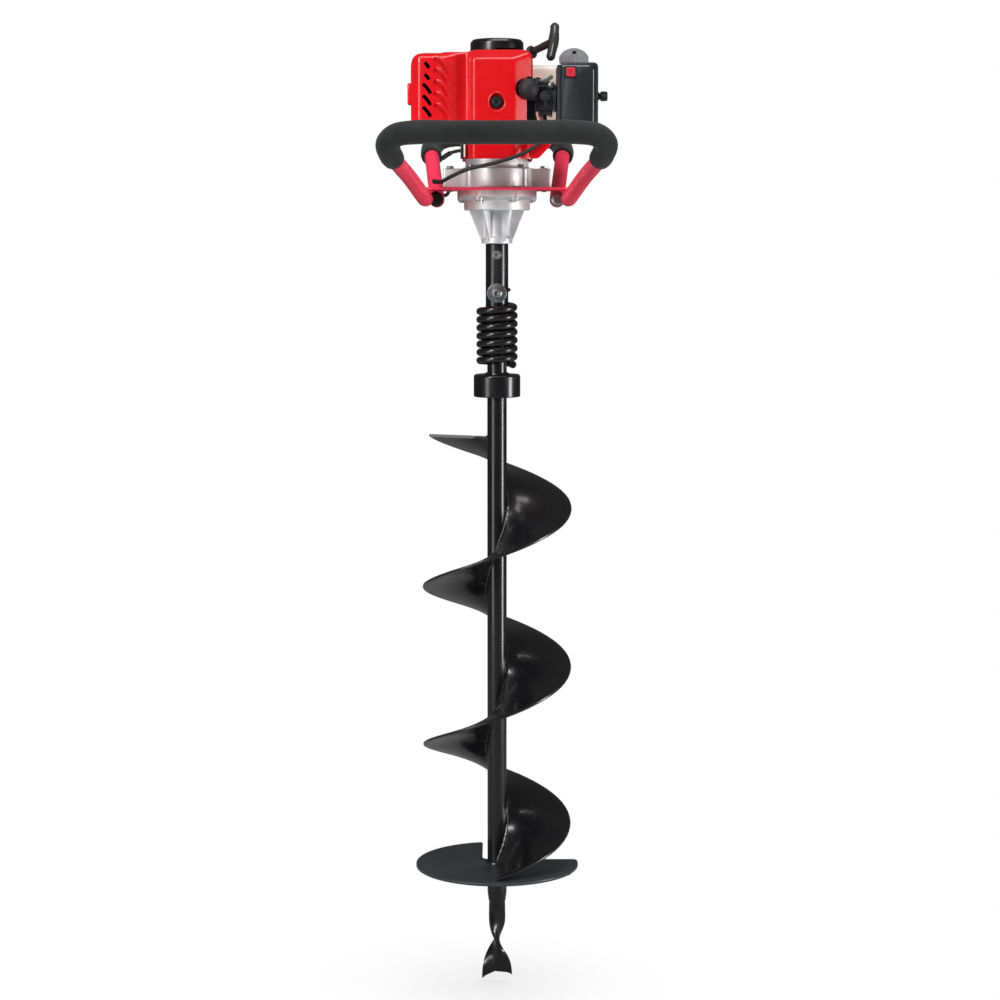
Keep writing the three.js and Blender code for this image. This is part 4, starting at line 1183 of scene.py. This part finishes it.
def make_lower_case():
    """Turned casting with six cone ribs and six bolt bosses."""
    profile = [
        (11.2, 1001), (20.2, 1001), (20.5, 1002), (20.5, 1008.5), (17.5, 1010.5), (17.5, 1042),
        (20, 1044.3), (42.4, 1044.3), (43.5, 1045.5), (43.5, 1057.5), (47.6, 1058.5), (48.4, 1059.5),
        (51.2, 1062), (52, 1063.5), (52, 1073.7), (46, 1073.7), (46, 1064), (21.5, 1064),
        (21.5, 1049), (11.2, 1049),
    ]
    case = turned("lower_case", profile, "cast_aluminium", 1.4, 96, True)
    carve(case, rod("seal_seat", 15.4, (0, 0, 990), UP, 18.3))
    rib_outline = [(16.4, 1003), (20.2, 1003), (36.5, 1043.6), (37, 1047), (16.4, 1047)]
    ribs = []
    for i, angle in enumerate(steps_round(CASE_BOLTS)):
        rib = prism(f"rib_{i}", rounded(rib_outline, 1.5, True, 2), -2, 2, "cast_aluminium", 0.9, upright)
        ribs.append(moved(rib, Matrix.Rotation(angle, 4, "Z")))
    places = ellipse(BOLT_CIRCLE, BOLT_CIRCLE, CASE_BOLTS)
    boss_profile = [(0, 1057), (5, 1057), (6, 1058.5), (6.2, 1073.7), (0, 1073.7)]
    bosses = [
        aimed(turned(f"case_boss_{i}", boss_profile, "cast_aluminium", 1.0, 32), (x, y, 0), UP)
        for i, (x, y) in enumerate(places)
    ]
    fuse(case, *ribs)
    fuse(case, *bosses)
    hollow = [(0, 1064), (45.8, 1064), (45.8, 1080), (0, 1080)]
    carve(case, turned("case_hollow", hollow, "cast_aluminium", SHARP, 64))
    case.name = "lower_case"
    shade(case, 32)
    stand_for(case, "gearcase_lower")
    for i, (x, y) in enumerate(places):
        place = (x, y, 1057.3)
        on_body(hex_head(f"case_bolt_{i}", 4.2, place, (0, 0, -1), 3.2))
        washer = turned(f"case_washer_{i}", [(0, 0), (5, 0), (5, 0.9), (0, 0.9)], "zinc", 0.3, 28)
        on_body(aimed(washer, place, (0, 0, -1)))


def make_upper_case():
    """Oval casting with side lugs, the clutch housing and four screw columns."""
    material = "cast_aluminium"
    body = prism("upper_case", ellipse(46.5, CASE_R, 96), CASE_SPLIT, 1100, material, 2.2)
    lugs = prism("lugs", box_outline(-LUG_REACH, LUG_REACH, -12, 12, 3), CASE_SPLIT, 1099, material, 1.4)
    housing_profile = [(0, 1097), (HOUSING_R + 1.5, 1097), (HOUSING_R, 1103), (HOUSING_R, 1122), (0, 1122)]
    housing = turned("clutch_housing", housing_profile, material, 1.2, 96)
    column_profile = [(0, CASE_SPLIT), (6.6, CASE_SPLIT), (6.6, 1098), (5, 1100.5), (0, 1100.5)]
    columns = [
        aimed(turned("column", column_profile, material, 1.2, 32), (x, y, 0), UP)
        for x, y in CASE_SCREWS
    ]
    fuse(body, lugs, housing)
    fuse(body, *columns)
    carve(body, prism("cavity", ellipse(42.3, 47.8, 72), 1060, 1091, material, SHARP))
    carve(body, rod("drum_room", 37.5, (0, 0, 1100), UP, 30, sides=64))
    carve(body, rod("bore", 5.5, (0, 0, 1085), UP, 25))
    carve(body, *(rod("lug_hole", 3.4, (side * 62, 0, 1060), UP, 50) for side in (1, -1)))
    body.name = "upper_case"
    shade(body, 32)
    stand_for(body, "gearcase_upper")
    band = tube("housing_band", HOUSING_R - 2, HOUSING_R + 0.7, 0, 2.4, material, 0.7, 96)
    on_body(aimed(band, (0, 0, 1106), UP))
    for index, (x, y) in enumerate(CASE_SCREWS):
        screw = turned(f"case_screw_{index}", [(0, 0), (4, 0), (4, 3.2), (0, 3.2)], "zinc", 0.5, 28)
        carve(screw, hex_head("socket", 2, (0, 0, 1.4), UP, 3))
        on_body(aimed(screw, (x, y, 1100.3), UP))


# ---- Fuel and air ---------------------------------------------------------------------------
CAP_X = 103.0
CAP_Y = 70.0
TANK_TOP = 1238.0
TANK_BOTTOM = 1138.0
KNOB_Z = 1190.0
INTAKE_Y = -60.0
INTAKE_Z = 1187.0
AIR_WALL = 3.2


def make_tank():
    """Moulded tank with a raised seam, a filler neck, two ribs and a strap."""
    low, high = TANK_BOTTOM, TANK_TOP
    material = "tank_plastic"
    outer = box_outline(36.5, 130.5, low + 0.5, high - 0.5, 14, 8)
    body = prism("tank_body", outer, -117.5, -45.8, material, 9, upright)
    seam_line = box_outline(35.6, 131.4, low - 0.4, high + 0.4, 14.6, 8)
    seam = prism("tank_seam", seam_line, -83, -80.6, material, 0.8, upright)
    neck_profile = [
        (0, high - 6), (17.5, high - 6), (17.5, high + 0.6), (15.6, high + 1.4), (15.6, high + 8.5),
        (0, high + 8.5),
    ]
    neck = aimed(turned("tank_neck", neck_profile, material, 0.8, 64), (CAP_X, CAP_Y, 0), UP)
    stand_for(fuse(body, seam, neck), "fuel_tank")
    for z in (1156, 1222):
        on_body(bead(f"tank_rib_{z}", (44, 117.6, z), (123, 117.6, z), 1.3, material, 10, 10, 0.6))
    strap = box_outline(30, 38, 1176, 1192, 2)
    on_body(prism("tank_strap", strap, -100, -38, "dark_plastic", 1.0, upright))
    make_cap()


def make_cap():
    """Domed cap with a grip of twenty flutes, and its vent boss."""
    (x0, x1), _, (z0, z1) = box_mm("fuel_cap")
    outer = (x1 - x0) / 2
    levels = [
        (0, 0.2), (outer - 0.9, 0.2), (outer, 1.2), (outer, 9.5), (outer - 0.9, 11.2), (outer - 2.2, 12.6),
        (outer - 4.6, 15.6), (outer - 8.5, 18.2), (outer - 13, 19.8), (5, 20.6), (0, 20.8),
    ]
    flute = 0.55
    rings = []
    for radius, height in rounded(levels, 0.9, False):
        grip = smooth(radius, outer - 2, outer - 0.2) * (1 - smooth(height, 10.5, 12))
        ring = []
        for a in steps_round(160):
            r = max(radius - grip * (flute - flute * math.cos(20 * a)), THIN)
            ring.append(mm(CAP_X + r * math.cos(a), CAP_Y + r * math.sin(a), z0 + height * (z1 - z0) / 21))
        rings.append(ring)
    cap = loft("cap", rings, "cap_grey", crease=40)
    vent = (0, -1, 0.1)
    fuse(cap, rod("vent_boss", 4.4, (CAP_X, CAP_Y - 8, z0 + 13), vent, 11, "cap_grey", 32, 0.7))
    carve(cap, rod("vent_hole", 2.5, (CAP_X, CAP_Y - 12, z0 + 13.3), vent, 12, "cap_grey", 24))
    stand_for(cap, "fuel_cap")
    on_body(rod("vent_plug", 2.4, (CAP_X, CAP_Y - 12.4, z0 + 13.4), vent, 2.0, "rubber", 24, 0.3), "tank_cap")


def make_carburettor():
    """Body with two flanges, a lower cover with four screws and a domed top, and its fittings."""
    material = "slate_paint"
    body = block("carb_body", 50, 75, -76, -44, 1171, 1203, material, 3, 1.6)
    front_flange = slab("carb_flange", 48, 52.5, 1170, 1204, 78, -42, 3, material, 1.0)
    rear_flange = slab("carb_rear", 72.5, 76.5, 1170, 1204, 78, -42, 3, material, 1.0)
    cover = block("carb_cover", 53.5, 71.5, -72, -48, 1165.5, 1172, material, 3, 1.2)
    dome = turned("carb_dome", [(0, 0), (8.5, 0), (8.5, 5), (6, 7.5), (0, 8)], material, 1.5, 40)
    fuse(body, front_flange, rear_flange, cover, aimed(dome, (62, INTAKE_Y, 1202), UP))
    carve(body, rod("throat", 9, (40, INTAKE_Y, INTAKE_Z), RIGHT, 45))
    body.name = "carb_body"
    seat = block("primer_seat", 30.8, 53, -96, -77.2, 1183, 1211, "dark_plastic", 4, 1.0)
    carve(seat, rod("seat_recess", PRIMER_R + 0.6, (PRIMER[0], PRIMER[1] - 3, PRIMER[2]), BACK, 10))
    on_body(seat)
    stand_for(body, "carburettor_body")
    screw_profile = [(0, 0), (2.4, 0), (2.4, 1.7), (0, 2.2)]
    for index, (x, y) in enumerate(((56, -68), (69, -68), (56, -52), (69, -52))):
        screw = turned(f"carb_screw_{index}", screw_profile, "zinc", 0.4, 24)
        on_body(aimed(screw, (x, y, 1165.6), (0, 0, -1)))
    make_idle_screw()
    make_hoses()
    make_primer()
    make_choke()
    refined("intake_manifold", 0.8)


def make_idle_screw():
    """Bright idle screw with its spring, and the throttle lever beside it."""
    start = Vector((69.5, -77, 1201.5))
    head = turned("idle_head", [(0, 0), (3.9, 0), (4.3, 1), (4.3, 3.6), (3.2, 5), (0, 5.4)], "zinc", 0.8, 32)
    on_body(aimed(head, start + Vector((0, -12, 0.8)), (0, -1, 0.05)))
    on_body(rod("idle_stem", 1.8, start, (0, -1, 0.07), 13, "zinc", 20, 0.3))
    turns, length, radius = 6, 10, 2.9
    coil = []
    for i in range(110):
        t = i / 109
        a = t * 2 * math.pi * turns
        y = start.y - 0.8 - length * t
        coil.append(mm(start.x + radius * math.cos(a), y, start.z + 0.4 + radius * math.sin(a)))
    on_body(sweep("idle_spring", coil, 0.5, "steel", 8, 0.2))
    arm = rounded([(52, 1204), (64, 1206), (73, 1213), (70, 1217), (61, 1211), (51, 1209)], 2.5, True, 3)
    on_body(prism("throttle_arm", arm, 79, 81, "zinc", 0.5, upright))
    on_body(rod("throttle_spindle", 2.4, (57, -78, 1207), (0, -1, 0), 5.4, "zinc", 24, 0.5))
    boot_profile = [(9.4, 0), (13.5, 0), (12.4, 2), (13.5, 4), (9.4, 4)]
    boot = turned("intake_boot", boot_profile, "rubber", 0.9, 48, True)
    on_body(aimed(boot, (72.6, INTAKE_Y, INTAKE_Z), RIGHT))


def make_hoses():
    fuel = [(58, -46, 1170), (58, -36, 1160), (60, -10, 1156), (62, 22, 1154), (62, 44, 1154)]
    bleed = [
        (44, -80, 1184), (46, -70, 1176), (50, -50, 1160), (52, -20, 1158), (50, 20, 1157), (50, 44, 1157),
    ]
    primer = [(46, -78, 1206), (52, -62, 1212), (58, -54, 1210), (60, -52, 1206)]
    on_body(sweep("fuel_hose", spline(fuel, 3.0), 2.2, "tank_plastic", 16, 0.5))
    on_body(sweep("bleed_hose", spline(bleed, 3.0), 2.2, "rubber", 16, 0.5))
    on_body(sweep("primer_hose", spline(primer, 3.0), 2.2, "rubber", 16, 0.5))


def make_primer():
    profile = [
        (0, 0.2), (PRIMER_R - 0.4, 0.2), (PRIMER_R, 1), (PRIMER_R, 3), (11.4, 4), (11.0, 6.5),
        (9.6, 9.4), (6.8, 11.8), (3, 12.9), (0, 13),
    ]
    dome = turned("primer_dome", profile, "rubber", 1.0, 64)
    stand_for(aimed(dome, PRIMER, (0, -1, 0)), "primer_bulb")


def make_choke():
    """Round knob with a pointer that hangs from it."""
    (x0, x1), _, (tip_z, top) = box_mm("choke_lever")
    x = (x0 + x1) / 2
    axis_z = top - 7
    profile = [
        (0, 0), (5.4, 0), (5.4, 3), (4.2, 4), (4.2, 14), (6.6, 15), (7, 16), (7, 20), (6.2, 21.6),
        (3.6, 22), (3.2, 21), (0, 21),
    ]
    knob = aimed(turned("choke_knob", profile, "dark_plastic", 0.7, 48), (x, -78.4, axis_z), (0, -1, 0))
    outline = [(x - 2.4, axis_z), (x - 1.4, tip_z + 1), (x, tip_z), (x + 1.4, tip_z + 1), (x + 2.4, axis_z)]
    lever = prism("choke_arm", rounded(outline, 0.8, True, 2), 97.5, 99.9, "dark_plastic", 0.6, upright)
    stand_for(fuse(knob, lever), "choke_lever")


def make_air_filter():
    """Open-backed box with a switch hole and a knob hole, its ribs, light grey lips as painted highlight
    lines along its top and right edges, and what it holds.
    """
    (x0, x1), (y0, y1), (z0, z1) = box_mm("air_filter_cover")
    material = "dark_plastic"
    outline = box_outline(x0 - 12, x1 - 0.4, z0 + 0.4, z1 - 0.4, 7, 6)
    outer = prism("air_box", outline, -y1 + 0.4, -y0 - 0.4, material, 3.4, upright)
    room = box_outline(x0 - 20, x1 - AIR_WALL, z0 + AIR_WALL, z1 - AIR_WALL, 5, 6)
    carve(outer, prism("air_room", room, -y1 + AIR_WALL, -y0 - AIR_WALL, material, 1.5, upright))
    carve(outer, block("air_open", x0 - 40, x0 + 0.4, -130, 10, z0 - 20, z1 + 20, soft=SHARP))
    carve(outer, block("switch_hole", 87.6, 100.4, -110, -96, 1211.6, 1224.4, r=1.5, soft=SHARP))
    carve(outer, rod("knob_hole", 3.4, (x1 - 8, INTAKE_Y, KNOB_Z), RIGHT, 14))
    stand_for(outer, "air_filter_cover")
    # Light grey beads along the front's top and right edges: painted highlight lines.
    highlight_line_y = y0 + 1.2
    top = z1 - 5.2
    on_body(bead("air_top_painted_highlight", (x0 + 1, highlight_line_y, top), (x1 - 12, highlight_line_y, top), 1.1, "cap_grey", 12, 12))
    side = x1 - 6.6
    on_body(bead("air_side_painted_highlight", (side, highlight_line_y, z1 - 10), (side, highlight_line_y, z0 + 8), 1.0, "cap_grey", 16, 12))
    for i in range(5):
        z = 1160 + i * 14
        start, end = (x1 - 0.6, y0 + 16, z), (x1 - 0.6, y0 + 32, z)
        on_body(bead(f"air_side_rib_{i}", start, end, 1.0, material, 6, 10))
    refined("air_filter_base", 0.8)
    make_element()
    make_air_knob()
    make_stop_switch()


def line_points(start, end, count):
    start, end = Vector(start), Vector(end)
    return [start.lerp(end, i / count) / 1000 for i in range(count + 1)]


def bead(name, start, end, radius, material, steps, sides, soft=0.5):
    """Straight raised bead with softened ends, between two points in millimetres."""
    return sweep(name, line_points(start, end, steps), radius, material, sides, soft)


def make_element():
    """Pleated paper on a rubber frame."""
    (x0, x1), (y0, y1), (z0, z1) = box_mm("air_filter_element")
    folds = 44
    edge = []
    for i in range(folds + 1):
        edge.append(Vector((x1 - 1.5 if i % 2 else x1 - 9, mix(y0 + 2, y1 - 2, i / folds))))
    outline = edge + [Vector((x0 + 4, y1 - 2)), Vector((x0 + 4, y0 + 2))]
    paper = prism("pleats", outline, z0 + 3, z1 - 3, "paper", SHARP)
    passage = (x0 - 10, INTAKE_Y, INTAKE_Z)
    carve(paper, rod("air_passage", 14, passage, RIGHT, 24))
    stand_for(paper, "air_filter_element")
    rim = slab(
        "element_frame", x0 + 0.2, x0 + 5, z0 + 0.2, z1 - 0.2, -y0 - 0.2, y1 - 0.2, 4, "rubber", 0.9,
    )
    on_body(carve(rim, rod("frame_passage", 14, passage, RIGHT, 24)))


def make_air_knob():
    """Six-lobed knob on a stem."""
    (x0, x1), _, _ = box_mm("air_cover_knob")
    profile = [(0, 0), (3, 0), (3, 10.8), (5.6, 11.4), (5.6, 12.6), (4, 13.6), (4, 15.4), (0, 15.4)]
    stem = turned("knob_stem", profile, "dark_plastic", 0.5, 40)
    aimed(stem, (x0 + 0.2, INTAKE_Y, KNOB_Z), RIGHT)
    start = x1 - 9.4
    rings = []
    for x, shrink in ((start, 0.9), (start + 0.8, 0), (x1 - 2.6, 0), (x1 - 0.8, 0.8), (x1 - 0.2, 2.2)):
        ring = []
        for a in steps_round(72):
            r = 6.1 - shrink + 0.8 * math.cos(6 * a)
            ring.append(mm(x, INTAKE_Y + r * math.cos(a), KNOB_Z + r * math.sin(a)))
        rings.append(ring)
    grab = loft("knob_grab", rings, "dark_plastic", crease=40)
    stand_for(fuse(stem, grab), "air_cover_knob")


def make_stop_switch():
    """Red button with a dished face, in a dark rim."""
    (x0, x1), (y0, y1), (z0, z1) = box_mm("stop_switch")

    def plate(name, grow, front, back, radius, material, soft):
        """Slab as wide and tall as the switch, grown by so much on each side."""
        return slab(name, x0 - grow, x1 + grow, z0 - grow, z1 + grow, front, back, radius, material, soft)

    button = plate("stop_button_face", -0.3, -y0, y1, 2, "button_red", 0.9)
    stand_for(carve(button, plate("dish", -3, -y0 + 3, y0 + 0.9, 1.5, "button_red", 0.4)), "stop_switch")
    rim = plate("switch_rim", 1.6, -y0 - 2.4, y0 + 4.6, 2.6, "dark_plastic", 0.6)
    on_body(carve(rim, plate("rim_hole", 0.3, -y0 + 3, y0 + 12, 2, "dark_plastic", SHARP)))


# ---- Engine inside, silencer and throttle --------------------------------------------------
def make_engine():
    softness = {
        "crankcase": 0.4, "cylinder": 0.4, "crankshaft": 0.4, "flywheel": 0.4, "piston": 0.4,
        "clutch_shoe_1": 0.4, "clutch_shoe_2": 0.4, "spark_plug": 0.5, "spark_boot": 0.5,
        "muffler": 1.6, "exhaust_outlet": 1.2,
    }
    for node, bevel in softness.items():
        refined(node, bevel)


THROTTLE = Vector((-20, GRIP_Y, 1151))


def throttle_matrix():
    turn = UP.rotation_difference(RIGHT)
    return Matrix.Translation(THROTTLE / 1000) @ turn.to_matrix().to_4x4()


def make_throttle():
    """Housing with two screws, the lever, and the cable from the carburettor."""
    place = throttle_matrix()
    refined("throttle_housing", 1.6, 40)
    shape = [
        (-27.6, -9.4), (-27.9, 0), (-27.2, 10), (-27.4, 20), (-27.9, 31), (-26.2, 31.8),
        (-24, 30), (-23.2, 20), (-23.2, -9.4),
    ]
    outline = rounded(shape, 1.6, True, 3)
    lever = prism("trigger_lever", outline, -4.4, 4.4, "dark_plastic", 1.3, across)
    stand_for(moved(lever, place), "throttle_trigger")
    for index, z in enumerate((-9, 8)):
        screw = turned(f"throttle_screw_{index}", [(0, 0), (2.8, 0), (2.8, 1.6), (0, 2.2)], "zinc", 0.4, 24)
        carve(screw, block("cross", -2.4, 2.4, -0.5, 0.5, 1.0, 4, r=0.2, soft=SHARP))
        aimed(screw, (25.8, 6, z), RIGHT)
        on_body(moved(screw, place))
    route = [
        (62, -60, 1167.2), (62, -70, 1160), (62, -95, 1152), (62, -108.8, 1143), (57, -108.8, 1131),
        (40, -108.8, 1119), (22, -108.8, 1111), (-7, -108, 1102.5), (-36, -103, 1096), (-58, -94, 1087),
        (-71, -82, 1080.5), (-79, -62, 1080), (-82, -40, 1081), (-83, 0, 1083), (-80, 40, 1083),
        (-68, 76, 1080), (-66, 104, 1071), (-72, 128, 1066), (-84, 152, 1072), (-90, 180, 1087),
        (-91, 215, 1101), (-86, 240, 1112), (-66, 256, 1128), (-46, GRIP_Y, THROTTLE.z - 19),
        (-30, GRIP_Y, THROTTLE.z - 19),
    ]
    path = spline(route, 3.0)
    cable = sweep("throttle_cable_sleeve", path, 2.45, "rubber", 20, 0.4)
    stand_for(cable, "throttle_cable")
    for index, at in ((0, 0.05), (1, 0.93)):
        i = round(at * (len(path) - 1))
        ferrule = path[max(i - 3, 0) : i + 3]
        on_body(sweep(f"cable_ferrule_{index}", ferrule, 3.4, "dark_plastic", 18, 0.8))


MATERIALS = make_materials()
make_camera()
make_world()
make_floor()
softbox("key", (-1.9, -2.6, 2.5), (0, 0, 0.7), 0.9, 2.2, 92)
softbox("right_strip", (2.2, -0.8, 0.55), (0, 0, 0.6), 0.6, 1.5, 46)
softbox("low_left", (-2.2, -1.9, 0.6), (0, 0, 0.8), 0.8, 1.6, 20)
softbox("top", (0.2, -0.4, 3.2), (0, 0, 0.9), 1.8, 1.2, 30)
make_bit()
make_spring()
make_socket()
make_frame()
make_cover()
make_starter()
make_gearcase()
make_tank()
make_carburettor()
make_air_filter()
make_engine()
make_throttle()

for node, thing in frame["nodes"].items():
    thing.data.materials.clear()
    thing.data.materials.append(MATERIALS[node_slot[node]])
